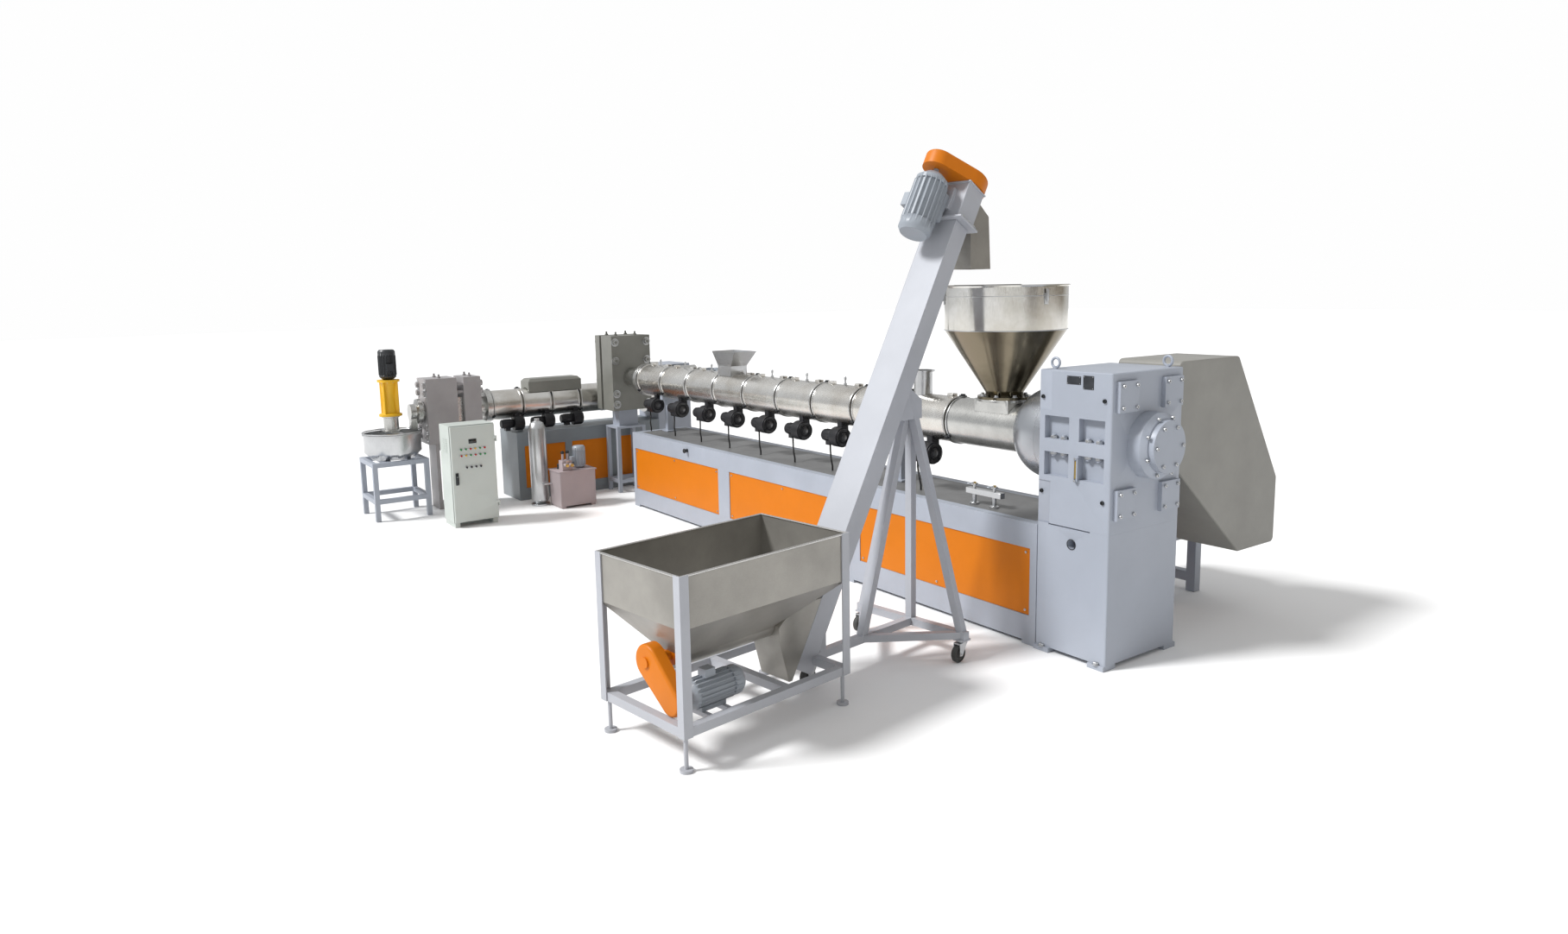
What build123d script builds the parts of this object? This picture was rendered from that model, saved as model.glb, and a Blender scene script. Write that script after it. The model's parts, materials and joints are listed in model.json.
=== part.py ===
"""A two-stage plastic recycling line: a long first extruder fed by a screw loader,
a second extruder across its end, a strand-cutting head with its water tank,
a hydraulic unit and a control cabinet.

Millimetres, +Z up. The origin is on the floor under the centre of the first gear case.
The first barrel runs along X at Y = 0 and its melt flows towards -X.
The loader comes from -Y. The second barrel runs along Y and flows towards -Y.
"""
from build123d import *
import math
import os

# Fits
seat = 0.3              # gap left between two separate pieces that rest on each other
sheet = 3.0             # sheet metal of hoppers, trays and covers
running = 0.05          # radial clearance of a shaft that turns in its bore

# First extruder: main lines
axis_z = 1105           # barrel centre line above the floor
bed_top = 663
bed_width = 570
bed_length = 4570
gear_length = 436       # along X
gear_width = 570        # along Y
gear_top = 1471
pedestal_top = 685
foot_height = 25
foot_size = 96
foot_overhang = 14

# Bed frame and its panels
rail_top_height = 138
rail_bottom_height = 140
rail_thickness = 60
bed_foot_height = 20
stile_end = 45
stile_middle = 160
panel_bays = 3
panel_thickness = 4
panel_inset = 6
deck_thickness = 12

# Gear case
case_corner = 10
split_z = 1090          # the joint between the two halves of the case
pocket_height_upper = 116
pocket_height_lower = 122
pocket_width = 150
pocket_depth = 36
pocket_edge = 38        # web left at the outer edge of the front
split_flange = 34       # half height of the solid band at the split
flange_bolt_radius = 11
flange_bolt_height = 22
side_pad_width = 150
side_pad_height = 150
side_pad_thickness = 22
eye_radius = 24
eye_bar = 7
hole_radius = 24        # round port in the pedestal
hole_drop = 85          # its centre below the pedestal's top
slot_height = 7         # cleaning slot between pedestal and case, at the front
slot_depth = 12
slot_start = 73         # from the case's left edge
slot_stop = 327
front_step = 78         # the left strip of the front is set back by front_step_depth
front_step_depth = 5
gauge_width = 26        # oil level gauge on the front
gauge_height = 124
gauge_x = 22
gauge_z = 985

# Thrust housing between gear case and barrel
thrust_flange_radius = 262
thrust_flange_length = 60
thrust_drum_radius = 250
thrust_length = 280
thrust_edge = 70
bell_swell = 0.66
bell_rise = 0.4
thrust_nose_radius = 160

# Rear bearing cap
cap_radius = 165
cap_length = 95
cap_step_radius = 130
cap_step_length = 30

# Barrel and heater covers
feed_radius = 137       # smooth feed section, same outside size as the covers
feed_length = 545
barrel_radius = 85
pipe_radius = 68
cover_radius = 137
cover_pitch = 435
cover_count = 9
seam_gap = 16
cover_lip = 4
cover_lip_length = 14
latch_length = 46
latch_width = 40
latch_height = 18
end_flange_radius = 150
end_flange_length = 30
neck_radius = 88

# Posts that carry the barrel
post_spots = (-1560, -4620)
post_thickness = 44     # along X
post_width = 60         # along Y
post_saddle_width = 150
post_saddle_height = 40
post_foot = 96
post_foot_thickness = 12

# Blowers under the covers
blower_y = -90
blower_z = 897
blower_radius = 68
blower_width = 84
blower_shift = 42       # the fan stands this far right of its cover's middle
blower_motor_radius = 40
blower_motor_length = 118
blower_neck_width = 46
blower_neck_depth = 60
conduit_radius = 6

# Vents on the barrel
vent_x = -3556
vent_base = 190
vent_mouth = 330
vent_height = 115
vent_stub_height = 62
chimney_x = -1367
chimney_radius = 58
chimney_height = 144

# Feed hopper
hopper_x = -708
hopper_radius = 337
hopper_rim_z = 1896
hopper_cone_z = 1652
hopper_outlet_radius = 105
hopper_flange_radius = 150
hopper_flange_thickness = 14
throat_top_z = 1263
throat_length = 250
throat_width = 220
throat_hole = 150
rim_bead = 9
lid_chord = 110         # the lid covers the rim from this distance to its edge
lid_thickness = 4

# Screw loader, in its own frame: x across, y along, z up
loader_angle = 8.162      # turned about Z from the line straight across the bed
loader_offset = 56      # the hopper centre stands this far to the side of the loader's line
hopper_reach = 1568     # from the trough's inner end to the hopper centre
trough_length = 951
trough_width = 571
trough_rim_z = 809
trough_side_height = 219
trough_pipe_radius = 62
trough_pipe_z = 380
trough_near_slope = 164 # how far the end slopes reach in from the tray's two ends
trough_far_slope = 251
trough_slope_top = 465  # where the end slope meets the pipe
angle_leg = 40
angle_thickness = 6
frame_tube = 40
frame_rail_z = 146
pad_radius = 28
pad_thickness = 12
pad_screw_radius = 9

tube_angle = 60
tube_width = 190
tube_depth = 110
tube_wall = 4
tube_low_z = 127         # centre of the tube's lower end
tube_inset = 98         # the tube's lower end lies this far inside the trough's inner end
tube_length = 2402
head_length = 222
head_extra = 14         # the head is this much deeper and wider than the tube, each side
head_flange = 30
head_flange_thickness = 12
guard_depth = 80
motor_offset = 190      # from the screw's axis back to the motor's axis
motor_side = -30        # and across
motor_drop = 35         # free shaft between the guard and the motor
shaft_radius = 14
big_pulley_guard = 130
small_pulley_guard = 77
loader_motor_radius = 90
loader_motor_length = 350

spout_start = 118       # from the tube's top end, along y
spout_depth = 183
spout_drop = 224        # the mouth lies this far below the tube's top end
spout_width = 130
spout_below_guard = 16  # room between the spout's top and the belt guard

stand_bar = 40
stand_bar_z = 136       # centre height of the base bars
stand_half_width = 365
stand_cross_run = 799   # the next four are measured from the trough's inner end
stand_front_run = 409
stand_tail_run = 50
apex_run = 779
stand_strut_step = 60   # the short strut stands this far behind the tail caster
apex_z = 1285

# Casters of the loader stand
caster_inset = 30       # from the ends of the cross bar
caster_plate = 64
caster_plate_thickness = 8
caster_trail = 30
caster_wheel_radius = 45
caster_wheel_width = 30
caster_cheek = 4
caster_side_gap = 2
caster_crown_radius = 22
caster_crown_thickness = 11
caster_axle_radius = 5
pin_radius = 7

# Trough drive
trough_motor_x = 150
trough_motor_z = 250
trough_motor_radius = 66
trough_motor_length = 290
trough_motor_y = 108
trough_guard_depth = 58
trough_guard_y = 86     # back face of the belt guard, inside the near legs
trough_big_guard = 76
trough_small_guard = 64

# Main drive behind the gear case
drive_guard_thickness = 370
drive_guard_x = -170      # near face of the belt guard
drive_guard_length = 980
drive_guard_rise = 25   # its top above the gear case
drive_guard_drop = 560
drive_motor_radius = 190
drive_motor_length = 640
drive_motor_z = 595
drive_motor_y = 800     # from the case's back

# First screen changer
changer_x = -5318       # its face towards the barrel
changer_width = 400
changer_low_z = 795
changer_high_z = 1497
changer_near_plate = 215
changer_gap = 40
changer_far_plate = 95
slide_half_height = 110
changer_stand_length = 250
changer_stand_width = 300
changer_stand_top = 635
changer_stand_tube = 36

# Second extruder
second_x = -5868
second_z = 885
second_end_y = -1204    # outlet end of the barrel
second_cover_pitch = 286
second_cover_count = 4
second_bed_width = 436
second_bed_top = 635
second_bed_near_y = -1030
second_gear_y = 450
second_gear_length = 380
second_gear_width = 420
second_gear_top = 1175
second_changer_y = -1310
second_changer_near = 155
second_changer_gap = 60
second_changer_far = 270
second_changer_width = 280
second_changer_low = 595
second_changer_high = 1175
second_blower_spots = (-985, -690, -400)
second_blower_reach = 140       # from the barrel's axis towards the viewer
second_blower_drop = 166
second_motor_radius = 150
second_motor_length = 480

# Control cabinet
cabinet_front_x = -4914
cabinet_depth = 280
cabinet_left_y = -1861
cabinet_width = 375
cabinet_foot = 40
cabinet_top = 845
cabinet_wall = 3
door_thickness = 20
door_gap = 9
door_side_gap = 6
hinge_height = 24
hinge_radius = 6

# Hydraulic unit
tank_front_x = -5048
tank_near_y = -880
tank_length = 340
tank_depth = 245
tank_height = 325
tank_lip = 8
accumulator_radius = 78
accumulator_height = 790

# Cutting head and water tank
water_x = -5820
water_y = -2085
water_radius = 235
water_low_z = 505
water_high_z = 725
water_chamfer = 60
water_stand_size = 470
water_motor_radius = 74
water_motor_length = 259
water_stool_height = 315
cutter_hub_radius = 62
cutter_hub_height = 134


def block(x0, x1, y0, y1, z0, z1):
    """A box between two corners."""
    return Pos((x0 + x1) / 2, (y0 + y1) / 2, (z0 + z1) / 2) * Box(abs(x1 - x0), abs(y1 - y0), abs(z1 - z0))


def rod_x(x0, x1, y, z, radius):
    """A cylinder along X."""
    return Pos((x0 + x1) / 2, y, z) * Rot(0, 90, 0) * Cylinder(radius, abs(x1 - x0))


def rod_y(x, y0, y1, z, radius):
    """A cylinder along Y."""
    return Pos(x, (y0 + y1) / 2, z) * Rot(90, 0, 0) * Cylinder(radius, abs(y1 - y0))


def rod_z(x, y, z0, z1, radius):
    """An upright cylinder."""
    return Pos(x, y, (z0 + z1) / 2) * Cylinder(radius, abs(z1 - z0))


def turned(points, place):
    """A solid of revolution: (radius, height) points turned about the local Z of the place."""
    face = make_face(Polyline(*[(r, 0, h) for r, h in points], close=True))
    return place * revolve(face, Axis.Z, 360)


def along_x(x, y, z):
    """A place whose local Z points along +X."""
    return Location(Plane(origin=(x, y, z), x_dir=(0, 1, 0), z_dir=(1, 0, 0)))


def along_y(x, y, z):
    """A place whose local Z points along +Y."""
    return Location(Plane(origin=(x, y, z), x_dir=(0, 0, 1), z_dir=(0, 1, 0)))


def side_profile(points, width):
    """A (y, z) outline stretched evenly to both sides of x = 0."""
    face = make_face(Polyline(*[(0, y, z) for y, z in points], close=True))
    return extrude(face, amount=width / 2, dir=(1, 0, 0), both=True)


def square_bar(start, end, size):
    """A square bar from one point to another, with one pair of faces upright."""
    a = Vector(*start)
    b = Vector(*end)
    run = b - a
    flat = Vector(run.Y, -run.X, 0)
    if flat.length < 1e-6:
        flat = Vector(1, 0, 0)
    place = Location(Plane(origin=tuple(a), x_dir=tuple(flat), z_dir=tuple(run)))
    return place * (Pos(0, 0, run.length / 2) * Box(size, size, run.length))


def merged(pieces):
    """One shape made of joined pieces."""
    result = pieces[0]
    for piece in pieces[1:]:
        result = result + piece
    return result


def solids_of(shapes):
    """All solids of the shapes, side by side."""
    found = []
    for shape in shapes:
        found.extend(shape.solids())
    return Compound(children=found)


nodes = {}


# Bed of the first extruder
bed_right = -gear_length / 2
bed_left = bed_right - bed_length
bed_front = -bed_width / 2
panel_low = bed_foot_height + rail_bottom_height
panel_high = bed_top - rail_top_height
bay_length = (bed_length - 2 * stile_end - (panel_bays - 1) * stile_middle) / panel_bays


def bay_start(index):
    """Left edge of a panel bay."""
    return bed_left + stile_end + index * (bay_length + stile_middle)


def make_bed():
    """Welded frame with rails, stiles, cross members and feet, a recessed deck and the side panels."""
    outer = block(bed_left, bed_right, bed_front, -bed_front, bed_foot_height, bed_top)
    core = block(bed_left + rail_thickness, bed_right - rail_thickness, bed_front + rail_thickness,
                 -bed_front - rail_thickness, 0, bed_top + 1)
    frame = outer - core
    panels = []
    for index in range(panel_bays):
        x0 = bay_start(index)
        x1 = x0 + bay_length
        for side in (-1, 1):
            y_out = side * bed_width / 2
            y_in = side * (bed_width / 2 - rail_thickness)
            frame -= block(x0, x1, y_out + side, y_in - side, panel_low, panel_high)
            face_y = side * (bed_width / 2 - panel_inset)
            back_y = side * (bed_width / 2 - panel_inset - panel_thickness)
            panels.append(block(x0 + seat, x1 - seat, face_y, back_y, panel_low + seat, panel_high - seat))
    ends = block(bed_left - 1, bed_left + rail_thickness + 1, bed_front + stile_middle / 2,
                 -bed_front - stile_middle / 2, panel_low, panel_high)
    frame -= ends
    foot = 90
    foot_step = (bed_length - foot) / panel_bays
    for index in range(panel_bays + 1):
        x0 = bed_left + index * foot_step
        for side in (-1, 1):
            y0 = side * bed_width / 2
            frame += block(x0, x0 + foot, y0, y0 - side * foot, 0, bed_foot_height)
    deck = block(bed_left + rail_thickness + seat, bed_right - rail_thickness - seat,
                 bed_front + rail_thickness + seat, -bed_front - rail_thickness - seat,
                 bed_top - deck_thickness, bed_top)
    nodes["bed_frame"] = frame
    nodes["bed_deck"] = deck
    nodes["bed_panels"] = solids_of(panels)


# Gear case, pedestal and what is bolted to them
def lifting_eye(x, y, z):
    """A ring bolt standing on a face."""
    ring = Pos(x, y, z + eye_radius + eye_bar) * Rot(90, 0, 0) * Torus(eye_radius, eye_bar)
    return ring + rod_z(x, y, z, z + 2 * eye_bar, 1.6 * eye_bar)


def gauge_glass(y):
    """Rounded frame of the oil level gauge, standing on the front with a slot down its middle."""
    frame = Rot(90, 0, 0) * extrude(SlotOverall(gauge_height, gauge_width, rotation=90), amount=14)
    slot = Rot(90, 0, 0) * extrude(SlotOverall(gauge_height - 24, gauge_width - 14, rotation=90), amount=15)
    return Pos(gauge_x, y, gauge_z) * (frame - Pos(0, -6, 0) * slot)


def make_gear_case():
    """Upright case in two halves with pockets between webs, standing on a box pedestal."""
    half_x = gear_length / 2
    half_y = gear_width / 2
    case = block(-half_x, half_x, -half_y, half_y, pedestal_top, gear_top)
    case = fillet(case.edges().filter_by(Axis.Z), case_corner)
    case = chamfer(case.faces().sort_by(Axis.Z)[-1].edges(), case_corner / 2)
    rows = ((split_z + split_flange, split_z + split_flange + pocket_height_upper),
            (split_z - split_flange - pocket_height_lower, split_z - split_flange))
    columns = ((-half_x + pocket_edge, -half_x + pocket_edge + pocket_width),
               (half_x - pocket_edge - pocket_width, half_x - pocket_edge))
    for side in (-1, 1):
        y_out = side * half_y
        for z0, z1 in rows:
            for x0, x1 in columns:
                case -= block(x0, x1, y_out + side, y_out - side * pocket_depth, z0, z1)
        for x0, x1 in columns:
            for share in (0.3, 0.72):
                x = x0 + share * (x1 - x0)
                y = y_out - side * pocket_depth / 2
                z = split_z + split_flange
                case += rod_z(x, y, z, z + flange_bolt_height, flange_bolt_radius)
                z = split_z - split_flange
                case += rod_z(x, y, z - flange_bolt_height, z, flange_bolt_radius)
    for z in (gear_top - side_pad_height - 40, pedestal_top + 70):
        for side in (-1, 1):
            y0 = side * (half_y - 30)
            case += block(half_x, half_x + side_pad_thickness, y0, y0 - side * side_pad_width, z, z + side_pad_height)
    step_top = split_z + split_flange + pocket_height_upper + 30
    step_low = split_z - split_flange - pocket_height_lower - 30
    for z0, z1 in ((step_top, gear_top + 1), (pedestal_top - 1, step_low)):
        case -= block(-half_x - 1, -half_x + front_step, -half_y - 1, -half_y + front_step_depth, z0, z1)
    case += gauge_glass(-half_y)
    for side in (-1, 1):
        case += lifting_eye(side * (half_x - 50), side * (half_y - 60), gear_top)
    nodes["gear_case"] = case

    pedestal = block(-half_x, half_x, -half_y, half_y, foot_height, pedestal_top - seat)
    pedestal = fillet(pedestal.edges().filter_by(Axis.Z), case_corner)
    port_z = pedestal_top - hole_drop
    pedestal -= rod_y(0, -half_y - 1, -half_y + 60, port_z, hole_radius)
    pedestal -= block(-half_x + slot_start, -half_x + slot_stop, -half_y - 1, -half_y + slot_depth,
                      pedestal_top - slot_height, pedestal_top)
    pedestal += block(-foot_size, foot_size, -foot_size, foot_size, 0, foot_height)
    for sx in (-1, 1):
        for sy in (-1, 1):
            x0 = sx * half_x
            y0 = sy * (half_y + foot_overhang)
            pedestal += block(x0, x0 - sx * foot_size, y0, y0 - sy * foot_size, 0, foot_height)
    nodes["gear_pedestal"] = pedestal

    flange_end = -thrust_flange_length
    nose = thrust_nose_radius
    drum = thrust_drum_radius
    shoulder = flange_end - thrust_edge
    outline = Polyline((0, 0, -thrust_length), (0, 0, -seat), (thrust_flange_radius, 0, -seat),
                       (thrust_flange_radius, 0, flange_end), (drum, 0, flange_end), (drum, 0, shoulder))
    bell_middle = (nose + (drum - nose) * bell_swell, 0, -thrust_length + (shoulder + thrust_length) * bell_rise)
    bell = ThreePointArc((drum, 0, shoulder), bell_middle, (nose, 0, -thrust_length))
    closing = Line((nose, 0, -thrust_length), (0, 0, -thrust_length))
    face = make_face(Wire([*outline.edges(), *bell.edges(), closing.edge()]))
    nodes["thrust_housing"] = along_x(-half_x, 0, axis_z) * revolve(face, Axis.Z, 360)

    cap = turned([(0, seat), (cap_radius, seat), (cap_radius, cap_length - 25), (cap_radius - 25, cap_length),
                  (cap_step_radius, cap_length), (cap_step_radius, cap_length + cap_step_length),
                  (0, cap_length + cap_step_length)], along_x(half_x, 0, axis_z))
    for side in (-1, 1):
        for z in (gear_top - side_pad_height - 40, pedestal_top + 70):
            y0 = side * (half_y - 30)
            cap -= block(half_x - 1, half_x + side_pad_thickness + seat, y0 + side, y0 - side * (side_pad_width + seat),
                         z - seat, z + side_pad_height + seat)
    nodes["gear_case"] = nodes["gear_case"] + Pos(-seat, 0, 0) * cap


# Barrel, covers, cradles, blowers and vents
feed_start = -gear_length / 2 - thrust_length
covers_start = feed_start - feed_length
covers_end = covers_start - cover_count * cover_pitch


def seam_x(index):
    """Centre of the seam after a number of covers."""
    return covers_start - index * cover_pitch


def heater_cover(start, length, place_of):
    """One sheet drum round the barrel with closed ends and a lip at each end."""
    lip = cover_radius + cover_lip
    inner = cover_radius - sheet
    hole = barrel_radius + seat
    points = [(hole, 0), (lip, 0), (lip, cover_lip_length), (cover_radius, cover_lip_length),
              (cover_radius, length - cover_lip_length), (lip, length - cover_lip_length), (lip, length),
              (hole, length), (hole, length - sheet), (inner, length - sheet), (inner, sheet), (hole, sheet)]
    return turned(points, place_of(start))


def make_barrel():
    """Screw barrel with its feed section, and the end flange and neck at the outlet."""
    length = feed_start - seat - covers_end
    start = covers_end
    profile = [(0, 0), (end_flange_radius, 0), (end_flange_radius, end_flange_length),
               (barrel_radius, end_flange_length), (barrel_radius, covers_start - start + seat),
               (feed_radius, covers_start - start + seat), (feed_radius, length), (0, length)]
    barrel = turned([(r, h - end_flange_length - seat if h <= end_flange_length else h) for r, h in profile],
                    along_x(start, 0, axis_z))
    barrel -= block(hopper_x - throat_hole / 2, hopper_x + throat_hole / 2, -throat_hole / 3, throat_hole / 3,
                    axis_z, axis_z + feed_radius + 1)
    nodes["barrel"] = barrel

    covers = []
    for index in range(cover_count):
        left = seam_x(index + 1) + seam_gap / 2
        covers.append(heater_cover(left, cover_pitch - seam_gap, lambda x: along_x(x, 0, axis_z)))
    latched = []
    for index, cover in enumerate(covers):
        middle = seam_x(index) - cover_pitch / 2
        for share in (-0.33, 0.33):
            x = middle + share * cover_pitch
            if abs(x - chimney_x) < chimney_radius + latch_length or abs(x - vent_x) < (vent_base + latch_length) / 2:
                continue
            latch = block(x - latch_length / 2, x + latch_length / 2, -latch_width / 2, latch_width / 2,
                          axis_z + cover_radius - sheet, axis_z + cover_radius + latch_height)
            latch -= rod_x(x - latch_length, x + latch_length, 0, axis_z, cover_radius - sheet / 2)
            cover = cover + latch
        latched.append(cover)
    nodes["heater_covers"] = solids_of(latched)

    cradles = []
    saddle_low = axis_z - cover_radius - post_saddle_height / 2
    for x in post_spots:
        half = post_thickness / 2
        post = block(x - half, x + half, -post_width / 2, post_width / 2, bed_top + seat, axis_z)
        post += block(x - half, x + half, -post_saddle_width / 2, post_saddle_width / 2, saddle_low, axis_z)
        post -= rod_x(x - post_foot, x + post_foot, 0, axis_z, cover_radius + seat)
        post -= block(x - post_foot, x + post_foot, -cover_radius, cover_radius,
                      saddle_low + post_saddle_height, axis_z + 1)
        foot = post_foot / 2
        post += block(x - foot, x + foot, -foot, foot, bed_top + seat, bed_top + post_foot_thickness)
        cradles.append(post)
    nodes["barrel_cradles"] = solids_of(cradles)


def blower(reach, drop):
    """A scroll fan with its duct and its motor, beside and below a barrel along local x through the origin."""
    y = -reach
    z = -drop
    half = blower_width / 2
    scroll = fillet(rod_x(-half, half, y, z, blower_radius).edges(), 6)
    duct = blower_neck_width / 2
    neck = block(-duct, duct, y, y + blower_neck_depth, z, -cover_radius * 0.55)
    neck -= rod_x(-half, half, 0, 0, cover_radius + seat)
    ring = rod_x(half - 1, half + 8, y, z, blower_radius * 0.6)
    ring -= rod_x(half + 2, half + 9, y, z, blower_radius * 0.46)
    ring += rod_x(half - 1, half + 6, y, z, blower_radius * 0.16)
    housing = scroll + neck + ring

    start = -half - seat
    middle = start - blower_motor_length / 2
    body = chamfer(rod_x(start - blower_motor_length, start, y, z, blower_motor_radius).edges(), 6)
    for turn in range(12):
        fin = Pos(0, 0, blower_motor_radius) * Box(blower_motor_length * 0.6, 3, 8)
        body += Pos(middle, y, z) * Rot(30 * turn, 0, 0) * fin
    box_low = z - blower_motor_radius - 24
    body += block(middle - 22, middle + 22, y - 24, y + 24, box_low, box_low + 30)
    return housing, body


def blower_conduit(reach, drop, floor_drop):
    """The cable of a blower's motor, from the box under the motor down to the deck, in the blower's frame."""
    x = -blower_width / 2 - seat - blower_motor_length / 2
    y = -reach
    high = -drop - blower_motor_radius - 24 - seat
    low = -floor_drop + seat
    path = FilletPolyline((x, y, high), (x, y, high - 40), (x + 46, y - 30, (high + low) / 2 - 10),
                          (x + 60, y - 30, low + 30), (x + 60, y - 30, low), radius=12)
    return sweep(Plane(origin=path @ 0, z_dir=path % 0) * Circle(conduit_radius), path=path)


def make_blowers():
    """A row of fans under the covers of both barrels."""
    housings = []
    motors = []
    conduits = []
    drop = axis_z - blower_z
    parts = [*blower(-blower_y, drop), blower_conduit(-blower_y, drop, axis_z - bed_top)]
    for index in range(cover_count):
        place = Pos(seam_x(index) - cover_pitch / 2 + blower_shift, 0, axis_z)
        for row, part in zip((housings, motors, conduits), parts):
            row.append(place * part)
    parts = blower(second_blower_reach, second_blower_drop)
    for y in second_blower_spots:
        place = Pos(second_x, y, second_z) * Rot(0, 0, 90)
        for row, part in zip((housings, motors), parts):
            row.append(place * part)
    nodes["blower_housings"] = solids_of(housings)
    nodes["blower_motors"] = solids_of(motors)
    nodes["blower_conduits"] = solids_of(conduits)


def make_vents():
    """The flared vent box and the round vent stub on top of the barrel covers."""
    base_z = axis_z + cover_radius
    low = Pos(vent_x, 0, base_z + vent_stub_height) * Rectangle(vent_base, vent_base * 0.8)
    high = Pos(vent_x + 30, 0, base_z + vent_stub_height + vent_height) * Rectangle(vent_mouth, vent_base * 1.1)
    inset = 2 * sheet
    low_in = Pos(vent_x, 0, base_z + vent_stub_height) * Rectangle(vent_base - inset, vent_base * 0.8 - inset)
    high_in = (Pos(vent_x + 30, 0, base_z + vent_stub_height + vent_height)
               * Rectangle(vent_mouth - inset, vent_base * 1.1 - inset))
    flare = loft([low.face(), high.face()]) - loft([low_in.face(), high_in.face()])
    stub = block(vent_x - vent_base / 2, vent_x + vent_base / 2, -vent_base * 0.4, vent_base * 0.4,
                 axis_z, base_z + vent_stub_height)
    stub -= block(vent_x - vent_base / 2 + sheet, vent_x + vent_base / 2 - sheet, -vent_base * 0.4 + sheet,
                  vent_base * 0.4 - sheet, axis_z - 1, base_z + vent_stub_height + 1)
    clear = rod_x(vent_x - vent_base, vent_x + vent_base, 0, axis_z, cover_radius + cover_lip + seat)
    chimney = rod_z(chimney_x, 0, axis_z, base_z + chimney_height, chimney_radius)
    chimney -= rod_z(chimney_x, 0, axis_z - 1, base_z + chimney_height + 1, chimney_radius - sheet)
    chimney += (rod_z(chimney_x, 0, base_z + chimney_height - 8, base_z + chimney_height, chimney_radius + 14)
                - rod_z(chimney_x, 0, base_z + chimney_height - 9, base_z + chimney_height + 1, chimney_radius - sheet))
    chimney -= rod_x(chimney_x - 200, chimney_x + 200, 0, axis_z, cover_radius + seat)
    nodes["barrel_vents"] = solids_of([(stub - clear) + flare, chimney])


# Feed hopper, its lid and the throat under it
def make_hopper():
    """Round hopper with a cone and a bottom flange, on a square throat block."""
    r = hopper_radius
    o = hopper_outlet_radius
    f = hopper_flange_radius
    z0 = throat_top_z + seat
    z1 = z0 + hopper_flange_thickness
    rim = hopper_rim_z
    points = [(o - sheet, z0), (f, z0), (f, z1), (o, z1), (o, z1 + 20), (r, hopper_cone_z), (r, rim - rim_bead),
              (r + rim_bead, rim - rim_bead), (r + rim_bead, rim), (r - sheet, rim), (r - sheet, hopper_cone_z),
              (o - sheet, z1 + 20)]
    nodes["feed_hopper"] = turned(points, Pos(hopper_x, 0, 0))

    throat = block(hopper_x - throat_length / 2, hopper_x + throat_length / 2, -throat_width / 2, throat_width / 2,
                   axis_z + 60, throat_top_z)
    throat += rod_z(hopper_x, 0, throat_top_z - hopper_flange_thickness, throat_top_z, hopper_flange_radius)
    throat -= block(hopper_x - throat_hole / 2, hopper_x + throat_hole / 2, -throat_hole / 2, throat_hole / 2,
                    axis_z, throat_top_z + 1)
    throat -= rod_x(hopper_x - throat_length, hopper_x + throat_length, 0, axis_z, feed_radius + seat)
    nodes["feed_throat"] = throat

    lid = rod_z(0, 0, rim + seat, rim + seat + lid_thickness, hopper_radius + rim_bead)
    lid -= block(-lid_chord, hopper_radius * 2, -hopper_radius * 2, hopper_radius * 2, rim, rim + 20)
    nodes["hopper_lid"] = Pos(hopper_x, 0, 0) * Rot(0, 0, loader_angle) * lid


# A finned electric motor, standing on its drive end's face and pointing down its own -Z
def motor(radius, length, fins=20, foot_side=None, box_side=None):
    """Motor with end bells, finned body and fan cowl. Local Z = 0 is the drive end."""
    bell = 0.16 * length
    cowl = 0.2 * length
    core = 0.86 * radius
    body = turned([(0, 0), (0.55 * radius, 0), (0.95 * radius, -bell * 0.6), (0.95 * radius, -bell),
                   (core, -bell), (core, -length + cowl), (0.97 * radius, -length + cowl),
                   (0.97 * radius, -length + 0.3 * cowl), (0.8 * radius, -length), (0, -length)], Pos(0, 0, 0))
    fin_length = length - bell - cowl
    middle = -(bell + length - cowl) / 2
    for turn in range(fins):
        fin = Pos(core, 0, middle) * Box(0.28 * radius, 0.05 * radius, fin_length + 1)
        body += Rot(0, 0, 360 * turn / fins) * fin
    if box_side is not None:
        size = 0.75 * radius
        box = Pos(radius * 1.15, 0, -length * 0.42) * Box(0.55 * radius, size, size * 1.1)
        body += Rot(0, 0, box_side) * box
    if foot_side is not None:
        foot = Pos(radius * 0.93, 0, -length * 0.42) * Box(0.3 * radius, 1.3 * radius, 0.45 * length)
        body += Rot(0, 0, foot_side) * foot
    return body


def belt_guard(distance, big, small, depth):
    """Closed guard over two pulleys: the big one at the origin, the small one at local x = distance."""
    ends = [Circle(big).edge(), (Pos(distance, 0, 0) * Circle(small)).edge()]
    shell = extrude(make_face(make_hull(ends)), amount=depth)
    shell = fillet(shell.faces().sort_by(Axis.Z)[-1].edges(), min(14, depth / 4))
    return shell + rod_z(0, 0, depth - 1, depth + 8, big * 0.3)


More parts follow.
